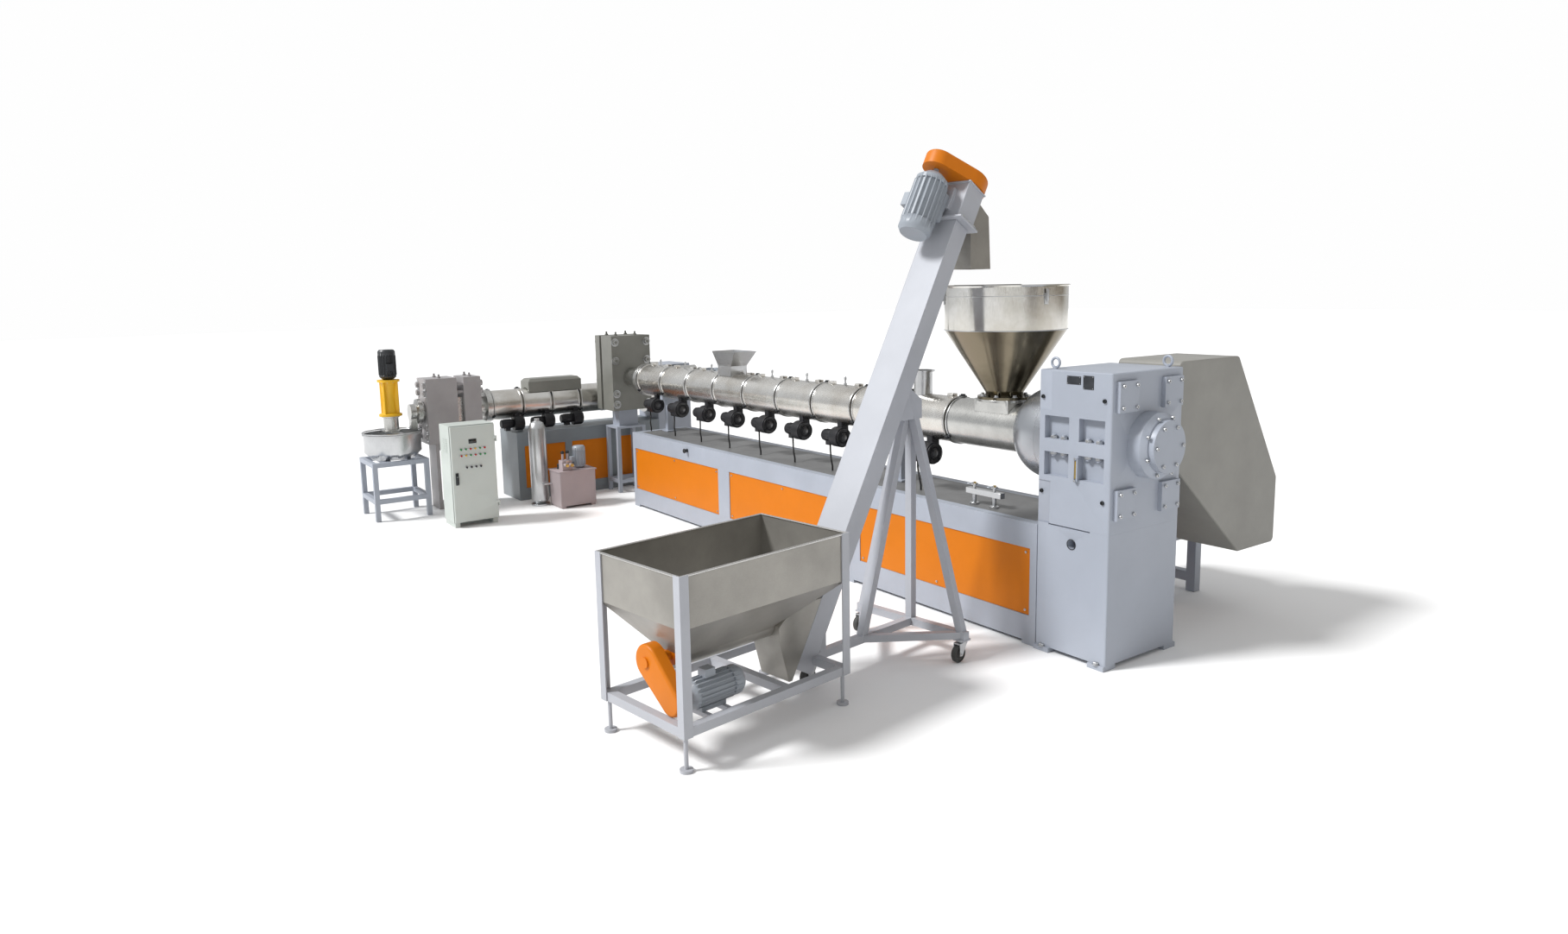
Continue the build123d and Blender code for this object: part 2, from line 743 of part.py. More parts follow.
# Main drive
def make_drive():
    """Belt guard on the back of the gear case, and the drive motor on its floor base."""
    back = gear_width / 2
    y0 = back + seat
    y1 = y0 + drive_guard_length
    z1 = gear_top + drive_guard_rise
    z0 = z1 - drive_guard_drop
    motor_y = back + drive_motor_y
    flat_y = y0 + drive_guard_length * 0.55
    low_z = drive_motor_z - drive_motor_radius
    points = [(y0, z0), (y0, z1), (flat_y, z1), (y1, drive_motor_z + drive_motor_radius),
              (y1, low_z), (motor_y - drive_motor_radius, low_z)]
    face = make_face(Polyline(*[(drive_guard_x, y, z) for y, z in points], close=True))
    guard = extrude(face, amount=drive_guard_thickness, dir=(1, 0, 0))
    guard = fillet(guard.edges().filter_by(Axis.X), 30)
    nodes["drive_belt_guard"] = guard

    place = Location(Plane(origin=(drive_guard_x - seat, motor_y, drive_motor_z), x_dir=(0, 0, -1), z_dir=(1, 0, 0)))
    body = place * motor(drive_motor_radius, drive_motor_length, fins=28, foot_side=0, box_side=180)
    nodes["drive_motor"] = body

    foot_low = drive_motor_z - drive_motor_radius * 1.08
    length = drive_motor_length
    x1 = drive_guard_x - 0.12 * length
    x0 = drive_guard_x - 0.75 * length
    half = drive_motor_radius
    base = block(x0, x1, motor_y - half, motor_y + half, foot_low - seat - 30, foot_low - seat)
    for x in (x0, x1 - 60):
        for y in (motor_y - half, motor_y + half - 60):
            base += block(x, x + 60, y, y + 60, 0, foot_low - seat - 30)
    base += block(x0, x1, motor_y - half, motor_y - half + 60, 60, 120)
    base += block(x0, x1, motor_y + half - 60, motor_y + half, 60, 120)
    nodes["drive_motor_base"] = base


# Screen changers
def screen_changer(near, gap, far, width, low, high, bore_z):
    """Two thick plates held by tie bolts, with a slide between them. Local +X faces the barrel."""
    half = width / 2
    plates = block(-near, 0, -half, half, low, high) + block(-near - gap - far, -near - gap, -half, half, low, high)
    bolt = 15
    nut = 26
    rows = (low + 60, bore_z - slide_half_height - 2 * bolt - 10, bore_z + slide_half_height + 2 * bolt + 20, high - 60)
    for z in rows:
        for side in (-1, 1):
            y = side * (half - 36)
            plates += rod_x(-near - gap - far - 24, 26, y, z, bolt)
            plates += rod_x(-near - gap - far - 22, -near - gap - far, y, z, nut)
            plates += rod_x(0, 22, y, z, nut)
    for x in (-near / 2, -near - gap - far / 2):
        for side in (-1, 1):
            plates += rod_z(x, side * half * 0.5, high, high + 34, 9)
            plates += rod_z(x, side * half * 0.5, high, high + 12, 16)
    slide_half = half - 36 - bolt - 6
    slide = block(-near - gap + seat, -near - seat, -slide_half, slide_half + 260, bore_z - slide_half_height,
                  bore_z + slide_half_height)
    rod_end = slide_half + 260
    middle = -near - gap / 2
    slide += rod_y(middle, rod_end - 1, rod_end + 120, bore_z, 16)
    slide += rod_y(middle, rod_end + 100, rod_end + 420, bore_z, 58)
    slide += block(middle - 70, middle + 70, rod_end + 84, rod_end + 110, bore_z - 70, bore_z + 70)
    return plates, slide


def make_first_changer():
    """Screen changer at the outlet of the first barrel, its stand and the elbow into the second barrel."""
    plates, slide = screen_changer(changer_near_plate, changer_gap, changer_far_plate, changer_width,
                                   changer_low_z, changer_high_z, axis_z)
    place = Pos(changer_x, 0, 0)
    nodes["screen_changer"] = place * plates
    nodes["screen_slide"] = place * slide

    x1 = covers_end - end_flange_length - 2 * seat
    nozzle = turned([(0, changer_x + seat), (neck_radius, changer_x + seat), (neck_radius, x1 - 24),
                     (end_flange_radius, x1 - 24), (end_flange_radius, x1), (0, x1)],
                    along_x(0, 0, axis_z))
    nodes["barrel"] = solids_of([nodes["barrel"], nozzle])

    length = changer_near_plate + changer_gap + changer_far_plate
    middle = changer_x - length / 2
    x0 = middle - changer_stand_length / 2
    x2 = middle + changer_stand_length / 2
    half = changer_stand_width / 2
    t = changer_stand_tube
    stand = block(x0, x2, -half, half, changer_stand_top - 20, changer_stand_top)
    for x in (x0, x2 - t):
        for y in (-half, half - t):
            stand += block(x, x + t, y, y + t, 0, changer_stand_top)
    for z in (90,):
        stand += block(x0, x2, -half, -half + t, z, z + t) + block(x0, x2, half - t, half, z, z + t)
        stand += block(x0, x0 + t, -half, half, z, z + t) + block(x2 - t, x2, -half, half, z, z + t)
    stand += block(middle - 70, middle + 70, -100, 100, changer_stand_top, changer_low_z - seat)
    nodes["changer_stand"] = stand

    left = changer_x - length - seat
    elbow_in = rod_x(left, second_x, 0, axis_z, pipe_radius) + Pos(second_x, 0, axis_z) * Sphere(pipe_radius)
    low = second_z + cover_radius + 20
    clear = pipe_radius + 42
    elbow_in -= block(second_x - clear, second_x + clear, -clear, clear, 0, low)
    elbow_in += rod_z(second_x, 0, low, axis_z, pipe_radius)
    elbow_in += rod_z(second_x, 0, low, low + 16, pipe_radius + 34)
    elbow_in += rod_x(left - 16, left, 0, axis_z, pipe_radius + 18)
    nodes["melt_elbow"] = elbow_in


# Second extruder
def make_second():
    """Shorter extruder across the first one's outlet, with its own screen changer and drive."""
    start = second_end_y
    covers_stop = start + second_cover_count * second_cover_pitch
    stop = second_gear_y - seat
    barrel = turned([(0, -end_flange_length - seat), (end_flange_radius, -end_flange_length - seat),
                     (end_flange_radius, -seat), (barrel_radius, -seat), (barrel_radius, covers_stop - start + seat),
                     (feed_radius, covers_stop - start + seat), (feed_radius, stop - start - 60),
                     (190, stop - start - 60), (190, stop - start), (0, stop - start)],
                    along_y(second_x, start, second_z))
    inlet_top = second_z + cover_radius + 20 - seat
    barrel += rod_z(second_x, 0, second_z + 90, inlet_top, pipe_radius - 12)
    barrel += rod_z(second_x, 0, inlet_top - 14, inlet_top, pipe_radius + 34)
    nodes["second_barrel"] = barrel

    covers = []
    for index in range(second_cover_count):
        y = start + index * second_cover_pitch + seam_gap / 2
        covers.append(heater_cover(y, second_cover_pitch - seam_gap, lambda v: along_y(second_x, v, second_z)))
    nodes["second_covers"] = solids_of(covers)

    box_y0 = start + 1.25 * second_cover_pitch
    box_y1 = start + 3.1 * second_cover_pitch
    top = second_z + cover_radius
    vent = block(second_x - 100, second_x + 100, box_y0, box_y1, second_z + 60, top + 90)
    vent = chamfer(vent.faces().sort_by(Axis.Z)[-1].edges(), 26)
    vent -= rod_y(second_x, box_y0 - 1, box_y1 + 1, second_z, cover_radius + cover_lip + seat)
    nodes["second_vent_box"] = vent

    half = second_bed_width / 2
    y0 = second_bed_near_y
    y1 = second_gear_y - seat
    x0 = second_x - half
    x1 = second_x + half
    frame = block(x0, x1, y0, y1, 0, second_bed_top)
    frame -= block(x0 + 50, x1 - 50, y0 + 50, y1 - 50, -1, second_bed_top - 20)
    panels = []
    bays = 3
    stile = 70
    bay = (y1 - y0 - stile * (bays + 1)) / bays
    for index in range(bays):
        b0 = y0 + stile + index * (bay + stile)
        for side in (-1, 1):
            x_out = second_x + side * half
            frame -= block(x_out + side, x_out - side * 51, b0, b0 + bay, 110, second_bed_top - 130)
            face_x = x_out - side * panel_inset
            panels.append(block(face_x, face_x - side * panel_thickness, b0 + seat, b0 + bay - seat,
                                110 + seat, second_bed_top - 130 - seat))
    nodes["second_panels"] = solids_of(panels)

    cradles = []
    for y in (start + second_cover_pitch, covers_stop + 0.5 * (stop - covers_stop)):
        on_barrel = y < covers_stop
        hug = barrel_radius if on_barrel else feed_radius
        plate = block(second_x - 75, second_x + 75, y - 5, y + 5, second_bed_top - 10, second_z)
        plate -= rod_y(second_x, y - 10, y + 10, second_z, hug + seat)
        cradles.append(plate)
    nodes["second_bed"] = merged([frame] + cradles)

    gear_half = second_gear_width / 2
    g0 = second_gear_y
    g1 = g0 + second_gear_length
    case = block(second_x - gear_half, second_x + gear_half, g0, g1, 0, second_gear_top)
    case = fillet(case.edges().filter_by(Axis.Z), case_corner)
    case -= block(second_x + gear_half - 20, second_x + gear_half + 1, g0 + 40, g1 - 40, second_z - 60, second_z + 60)
    nodes["second_gear_case"] = case
    place = Location(Plane(origin=(second_x, g1 + seat, second_z + 60), x_dir=(1, 0, 0), z_dir=(0, -1, 0)))
    nodes["second_motor"] = place * motor(second_motor_radius, second_motor_length, fins=24, box_side=0)

    plates, slide = screen_changer(second_changer_near, second_changer_gap, second_changer_far, second_changer_width,
                                   second_changer_low, second_changer_high, second_z)
    place = Pos(second_x, second_changer_y, 0) * Rot(0, 0, 90)
    foot = block(-second_changer_near - second_changer_gap - second_changer_far + 60, -40, -110, 110,
                 0, second_changer_low)
    foot -= block(-second_changer_near - second_changer_gap - second_changer_far + 90, -70, -111, 111,
                  40, second_changer_low - 60)
    nodes["second_screen_changer"] = place * (plates + foot)
    nodes["second_slide"] = place * slide
    y_near = second_changer_y
    y_far = start - end_flange_length - 2 * seat
    neck = turned([(0, y_near + seat), (neck_radius, y_near + seat), (neck_radius, y_far - 20),
                   (end_flange_radius, y_far - 20), (end_flange_radius, y_far), (0, y_far)],
                  along_y(second_x, 0, second_z))
    nodes["second_barrel"] = solids_of([nodes["second_barrel"], neck])


# Screw loader
def loader_place():
    """The loader's own frame: x across, y along, origin under the trough's outer end."""
    return Pos(hopper_x, 0, 0) * Rot(0, 0, loader_angle) * Pos(-loader_offset, -trough_length - hopper_reach, 0)


tube_low_y = trough_length - tube_inset
stand_cross_y = trough_length + stand_cross_run
stand_front_y = trough_length + stand_front_run
stand_tail_y = trough_length + stand_tail_run
apex_y = trough_length + apex_run
pipe_start = trough_near_slope
pipe_stop = trough_length - trough_far_slope
tube_cos = math.cos(math.radians(tube_angle))
tube_sin = math.sin(math.radians(tube_angle))


def tube_place(run=0.0):
    """On the tube's axis, a run above its lower end. Local z runs up the tube, local -y faces up and back."""
    y = tube_low_y + run * tube_cos
    z = tube_low_z + run * tube_sin
    return Location(Plane(origin=(0, y, z), x_dir=(1, 0, 0), z_dir=(0, tube_cos, tube_sin)))


def tube_back_y(z, extra=0.0):
    """Where the tube's upper back face crosses a height."""
    return tube_low_y + (z - tube_low_z) / math.tan(math.radians(tube_angle)) - (tube_depth / 2 + extra) / tube_sin


def tube_under_y(z, extra=0.0):
    """Where the tube's underside crosses a height."""
    return tube_low_y + (z - tube_low_z) / math.tan(math.radians(tube_angle)) + (tube_depth / 2 + extra) / tube_sin


def make_trough():
    """Open tray that slopes to a half pipe, on a frame of angle legs and square rails."""
    half = trough_width / 2
    side_low = trough_rim_z - trough_side_height
    pipe = trough_pipe_radius
    wall = sheet

    def hull_of(inset, rim):
        w = half - inset
        r = pipe - inset
        y0 = inset
        y1 = trough_length - inset
        tray = block(-w, w, y0, y1, side_low, rim)
        pipe_y0 = pipe_start + inset
        pipe_y1 = pipe_stop - inset
        top = Plane.XY.offset(side_low) * Pos(0, (y0 + y1) / 2) * Rectangle(2 * w, y1 - y0)
        low = Plane.XY.offset(trough_pipe_z) * Pos(0, (pipe_y0 + pipe_y1) / 2) * Rectangle(2 * r, pipe_y1 - pipe_y0)
        slopes = loft([low.face(), top.face()])
        channel = rod_y(0, pipe_y0, pipe_y1, trough_pipe_z, r)
        return tray + slopes + channel

    tray = hull_of(0, trough_rim_z) - hull_of(wall, trough_rim_z + 10)
    nodes["trough_tray"] = loader_place() * tray

    frame_parts = []
    out = half + seat
    ends = (-seat, trough_length + seat)
    for side in (-1, 1):
        for end, inward in ((ends[0], 1), (ends[1], -1)):
            x = side * out
            y = end
            web = block(x, x + side * angle_thickness, y - inward * angle_thickness, y + inward * angle_leg,
                        frame_rail_z, trough_rim_z)
            leaf = block(x + side * angle_thickness, x - side * (angle_leg - angle_thickness), y - inward * angle_thickness,
                         y, frame_rail_z, trough_rim_z)
            frame_parts += [web, leaf]
            foot_x = side * (out - frame_tube / 2)
            foot_y = end + inward * frame_tube / 2
            frame_parts.append(rod_z(foot_x, foot_y, pad_thickness, frame_rail_z, pad_screw_radius))
            frame_parts.append(rod_z(foot_x, foot_y, 0, pad_thickness, pad_radius))
    y0 = ends[0]
    y1 = ends[1]
    z0 = frame_rail_z
    z1 = z0 + frame_tube
    t = frame_tube
    for side in (-1, 1):
        x = side * out
        frame_parts.append(block(x, x - side * t, y0, y1, z0, z1))
    frame_parts.append(block(-out, out, y0, y0 + t, z0, z1))
    for side in (-1, 1):
        frame_parts.append(block(side * (tube_width / 2 + seat), side * out, y1 - t, y1, z0, z1))
    motor_low = trough_motor_z - trough_motor_radius * 1.08 - seat
    foot_middle = trough_motor_y + 0.42 * trough_motor_length
    for y in (foot_middle - 62, foot_middle + 62 - t / 2):
        frame_parts.append(block(trough_motor_x - 70, out - t + 1, y, y + t / 2, motor_low - t / 2, motor_low))
    nodes["trough_frame"] = loader_place() * merged(frame_parts)

    dx = trough_motor_x
    dz = trough_motor_z - trough_pipe_z
    distance = math.hypot(dx, dz)
    tilt = math.degrees(math.atan2(dz, dx))
    face = Location(Plane(origin=(0, trough_guard_y, trough_pipe_z), x_dir=(1, 0, 0), z_dir=(0, -1, 0)))
    guard = face * Rot(0, 0, tilt) * belt_guard(distance, trough_big_guard, trough_small_guard, trough_guard_depth)
    hub = rod_y(0, trough_guard_y - 1, pipe_start - seat, trough_pipe_z, 22)
    hub += rod_y(0, pipe_start - 14, pipe_start - seat, trough_pipe_z, 46)
    hub -= hull_of(-seat, trough_rim_z)
    nodes["trough_belt_guard"] = loader_place() * (guard + hub)

    place = Location(Plane(origin=(trough_motor_x, trough_motor_y, trough_motor_z), x_dir=(0, 0, -1), z_dir=(0, -1, 0)))
    body = motor(trough_motor_radius, trough_motor_length, foot_side=0, box_side=180)
    body += rod_z(0, 0, -1, trough_motor_y - trough_guard_y - seat, shaft_radius)
    nodes["trough_motor"] = loader_place() * place * body


def make_loader():
    """Inclined screw tube with boot, head, spout and top drive."""
    tube = Box(tube_width, tube_depth, tube_length) - Box(tube_width - 2 * tube_wall, tube_depth - 2 * tube_wall,
                                                          tube_length - 2 * tube_wall)
    nodes["loader_tube"] = loader_place() * tube_place(tube_length / 2) * tube

    low = tube_low_z - 20
    top = trough_slope_top - 8
    boot_y = pipe_stop + seat
    slope = trough_far_slope / (trough_rim_z - trough_side_height - trough_pipe_z)
    slope_y = boot_y + (top - trough_pipe_z) * slope + 2 * seat
    boot = side_profile([(boot_y, trough_pipe_z - seat), (boot_y, trough_pipe_z - trough_pipe_radius),
                         (tube_back_y(low, seat) - 20, low), (tube_back_y(low, seat), low),
                         (tube_back_y(top, seat), top), (slope_y, top)], tube_width)
    nodes["loader_boot"] = loader_place() * boot

    width = tube_width + 2 * head_extra
    depth = tube_depth + 2 * head_extra
    head = Pos(0, 0, head_length / 2) * Box(width, depth, head_length)
    head += Pos(0, 0, head_flange_thickness / 2) * Box(width + 2 * head_flange, depth + head_flange, head_flange_thickness)
    mount_depth = motor_offset - loader_motor_radius * 1.08 - depth / 2
    head += (Pos(motor_side / 2, -depth / 2 - mount_depth / 2, head_length * 0.5)
             * Box(120, mount_depth, head_length * 0.55))
    head += Pos(0, 0, head_length - 4) * Box(width + 16, depth + 16, 8)
    nodes["loader_head"] = loader_place() * tube_place(tube_length + seat) * head

    turn = math.degrees(math.atan2(-motor_offset, motor_side))
    distance = math.hypot(motor_offset, motor_side)
    guard = Rot(0, 0, turn) * belt_guard(distance, big_pulley_guard, small_pulley_guard, guard_depth)
    guard_run = tube_length + head_length + 2 * seat
    nodes["loader_belt_guard"] = loader_place() * tube_place(guard_run) * guard

    body = motor(loader_motor_radius, loader_motor_length, foot_side=90, box_side=180)
    body += rod_z(0, 0, -1, motor_drop, shaft_radius)
    hung = Pos(motor_side, -motor_offset - seat, -motor_drop)
    nodes["loader_motor"] = loader_place() * tube_place(guard_run - seat) * hung * body

    reach = tube_depth / 2 + head_extra + seat
    spout_near_y = tube_low_y + tube_length * tube_cos + spout_start
    spout_far_y = spout_near_y + spout_depth
    spout_low_z = tube_low_z + tube_length * tube_sin - spout_drop
    near_z = tube_low_z + (spout_near_y - tube_low_y - reach / tube_sin) * tube_sin / tube_cos
    top_run = guard_run - spout_below_guard
    top_y = tube_low_y + top_run * tube_cos + reach * tube_sin
    top_z = tube_low_z + top_run * tube_sin - reach * tube_cos
    far_z = tube_low_z + (top_run - 10 - (spout_far_y - tube_low_y) * tube_cos) / tube_sin
    outline = [(spout_near_y, spout_low_z), (spout_far_y, spout_low_z), (spout_far_y - 20, far_z), (top_y, top_z),
               (spout_near_y, near_z)]
    outer = side_profile(outline, spout_width)
    face = make_face(Polyline(*[(0, y, z) for y, z in outline], close=True))
    core_face = offset(face, amount=-sheet)
    core = extrude(core_face, amount=spout_width / 2 - sheet, dir=(1, 0, 0), both=True)
    mouth = block(-spout_width / 2 + sheet, spout_width / 2 - sheet, spout_near_y + sheet + 1, spout_far_y - sheet - 1,
                  spout_low_z - 1, spout_low_z + 8)
    nodes["loader_spout"] = loader_place() * (outer - core - mouth)


def caster_spots():
    """Where the casters stand, in the loader's frame."""
    across = stand_half_width - caster_inset
    return ((across, stand_cross_y), (-across, stand_cross_y), (0, stand_tail_y))


def make_stand():
    """Base triangle on three casters, an upright post and raking legs to a saddle under the tube."""
    z = stand_bar_z
    bar = stand_bar
    parts = [square_bar((-stand_half_width, stand_cross_y, z), (stand_half_width, stand_cross_y, z), bar),
             square_bar((0, stand_tail_y - 24, z), (0, stand_cross_y, z), bar)]
    for side in (-1, 1):
        parts.append(square_bar((0, stand_front_y, z), (side * (stand_half_width - 30), stand_cross_y, z), bar * 0.9))
        parts.append(square_bar((side * (stand_half_width - 30), stand_cross_y, z), (side * 22, apex_y, apex_z), bar))
    parts.append(square_bar((0, apex_y + 22, z), (0, apex_y + 22, apex_z), bar))
    parts.append(square_bar((0, stand_front_y, z), (0, apex_y - 10, apex_z), bar))
    top = apex_z + 120
    saddle = side_profile([(tube_under_y(apex_z - 60, seat), apex_z - 60), (tube_under_y(top, seat), top),
                           (apex_y + 46, apex_z + 34), (apex_y + 46, apex_z - 60)], 110)
    parts.append(saddle)
    strut_y = stand_tail_y + stand_strut_step
    strut_top = tube_low_z + (strut_y + bar - tube_low_y) * tube_sin / tube_cos
    parts.append(block(-bar / 2, bar / 2, strut_y - bar / 2, strut_y + bar / 2, z, strut_top))
    for x, y in caster_spots():
        plate_top = z - bar / 2
        parts.append(block(x - caster_plate / 2, x + caster_plate / 2, y - caster_plate / 2, y + caster_plate / 2,
                           plate_top - caster_plate_thickness, plate_top))
        parts.append(rod_z(x, y, plate_top - caster_plate_thickness - caster_crown_thickness - 2, plate_top, pin_radius))
    stand = merged(parts)
    cutter = tube_place(tube_length / 2) * Box(tube_width * 2, tube_depth + 2 * seat, tube_length + 200)
    above = tube_place(tube_length / 2) * Pos(0, -300 - tube_depth / 2, 0) * Box(tube_width * 2, 601, tube_length + 200)
    stand = stand - cutter - above
    nodes["loader_stand"] = loader_place() * stand


def make_casters():
    """Three swivel casters: fork with axle, and wheel."""
    plate_low = stand_bar_z - stand_bar / 2 - caster_plate_thickness
    crown_top = plate_low - seat
    crown_low = crown_top - caster_crown_thickness
    inner = caster_wheel_width / 2 + caster_side_gap
    outer = inner + caster_cheek
    r = caster_wheel_radius
    fork = rod_z(0, 0, crown_low, crown_top, caster_crown_radius)
    fork += block(-outer, outer, -caster_crown_radius + 4, caster_trail + 12, crown_low - 3, crown_low + 4)
    cheek_outline = [(-caster_crown_radius + 4, crown_low + 4), (caster_trail + 12, crown_low + 4),
                     (caster_trail + 13, r - 8), (caster_trail - 9, r - 12)]
    cheek = side_profile(cheek_outline, 2 * outer) - side_profile(
        [(-90, 0), (90, 0), (90, crown_low - 3), (-90, crown_low - 3)], 2 * inner)
    fork += cheek
    fork += rod_x(-outer - 5, outer + 5, caster_trail, r, caster_axle_radius)
    fork -= rod_z(0, 0, crown_low - 4, crown_top + 1, pin_radius + running)
    w = caster_wheel_width / 2
    wheel = turned([(caster_axle_radius + running, -w), (r * 0.45, -w), (r * 0.5, -w + 4), (r * 0.78, -w + 4),
                    (r * 0.82, -w), (r - 5, -w), (r, -w + 5), (r, w - 5), (r - 5, w), (r * 0.82, w),
                    (r * 0.78, w - 4), (r * 0.5, w - 4), (r * 0.45, w), (caster_axle_radius + running, w)],
                   along_x(0, caster_trail, r))
    for index, (x, y) in enumerate(caster_spots()):
        place = loader_place() * Pos(x, y, 0) * Rot(0, 0, 180)
        nodes[f"caster_fork_{index + 1}"] = place * fork
        nodes[f"caster_wheel_{index + 1}"] = place * wheel


# Control cabinet
def make_cabinet():
    """Sheet box on feet with a hinged door at the front, which faces +X."""
    x1 = cabinet_front_x - door_thickness - door_gap
    x0 = cabinet_front_x - cabinet_depth
    y0 = cabinet_left_y
    y1 = y0 + cabinet_width
    body = block(x0, x1, y0, y1, cabinet_foot, cabinet_top)
    body = fillet(body.edges().filter_by(Axis.X), 4)
    w = cabinet_wall
    body -= block(x0 + w, x1 + 1, y0 + w, y1 - w, cabinet_foot + w, cabinet_top - w)
    lip = 14
    body += (block(x1 - w, x1, y0 + 1, y1 - 1, cabinet_foot + 1, cabinet_top - 1)
             - block(x1 - w - 1, x1 + 1, y0 + lip, y1 - lip, cabinet_foot + lip, cabinet_top - lip))
    body += block(x0, x1, y0 + 8, y0 + 48, 0, cabinet_foot) + block(x0, x1, y1 - 48, y1 - 8, 0, cabinet_foot)
    axis_x = cabinet_front_x + 2
    axis_y = y1 + 4
    for z in (cabinet_foot + 130, cabinet_top - 130):
        body += rod_z(axis_x, axis_y, z - hinge_height, z - seat, hinge_radius)
        body += rod_z(axis_x, axis_y, z - hinge_height, z + hinge_height, hinge_radius / 2)
        body += block(x1 - 30, axis_x, y1 - 1, y1 + 3, z - hinge_height, z - seat)
    body += block(x0 + w, x0 + w + 24, y0 + 40, y1 - 40, cabinet_foot + 60, cabinet_top - 60)
    nodes["cabinet_body"] = body

    d0 = cabinet_front_x - door_thickness
    dy0 = y0 + 4
    dy1 = y1 - door_side_gap
    door = block(d0, cabinet_front_x, dy0, dy1, cabinet_foot + 6, cabinet_top - 6)
    door = fillet(door.faces().sort_by(Axis.X)[-1].edges(), 4)
    door -= block(d0 - 1, cabinet_front_x - w, dy0 + w, dy1 - w, cabinet_foot + 6 + w, cabinet_top - 6 - w)
    handle_z = cabinet_foot + 0.46 * (cabinet_top - cabinet_foot)
    door += block(cabinet_front_x, cabinet_front_x + 6, dy0 + 22, dy0 + 46, handle_z - 50, handle_z + 50)
    door += fillet(block(cabinet_front_x + 6, cabinet_front_x + 24, dy0 + 26, dy0 + 42, handle_z - 40, handle_z + 20)
                   .edges().filter_by(Axis.Z), 4)
    for z in (cabinet_foot + 130, cabinet_top - 130):
        door += rod_z(axis_x, axis_y, z, z + hinge_height, hinge_radius)
        door += block(cabinet_front_x - 2, axis_x + 2, dy1 - 20, axis_y, z, z + hinge_height)
        door -= rod_z(axis_x, axis_y, z - 1, z + hinge_height + 1, hinge_radius / 2 + running)
    nodes["cabinet_door"] = door


# Hydraulic unit
def make_hydraulics():
    """Oil tank with pump motor and valve block on its lid, and a gas bottle beside it."""
    x1 = tank_front_x
    x0 = x1 - tank_depth
    y0 = tank_near_y
    y1 = y0 + tank_length
    tank = block(x0, x1, y0, y1, 20, tank_height)
    tank = fillet(tank.edges().filter_by(Axis.Z), 10)
    for y in (y0 + 10, y1 - 50):
        tank += block(x0 + 5, x1 - 5, y, y + 40, 0, 20)
    tank += block(x0 - tank_lip, x1 + tank_lip, y0 - tank_lip, y1 + tank_lip, tank_height, tank_height + 10)
    lid = tank_height + 10
    tank += block(x1 - 110, x1 - 30, y0 + 40, y0 + 130, lid, lid + 90)
    for step in range(2):
        y = y0 + 62 + 45 * step
        tank += rod_x(x1 - 30, x1 + 22, y, lid + 55, 14)
        tank += rod_z(x1 - 70, y, lid + 90, lid + 150, 10)
    nodes["hydraulic_tank"] = tank
    place = Pos(x0 + 125, y1 - 100, lid + 200 + seat)
    nodes["hydraulic_motor"] = place * Rot(180, 0, 0) * Pos(0, 0, 200) * motor(58, 200, fins=16, box_side=90)

    r = accumulator_radius
    bx = x0 - tank_lip - 0.9 * r
    by = y0 - tank_lip - 0.7 * r
    h = accumulator_height
    bottle = turned([(0, 12), (r * 0.6, 12), (r, 50), (r, h - 90), (r * 0.75, h - 40), (r * 0.3, h - 20),
                     (r * 0.3, h), (0, h)], Pos(bx, by, 0))
    bottle += rod_z(bx, by, 0, 14, r + 6)
    strap_end = x0 + 60
    bottle += block(bx, strap_end, by - 8, by + 8, 200, 216)
    bottle += block(strap_end - 16, strap_end, by - 8, y0 - seat, 200, 216)
    nodes["accumulator"] = bottle


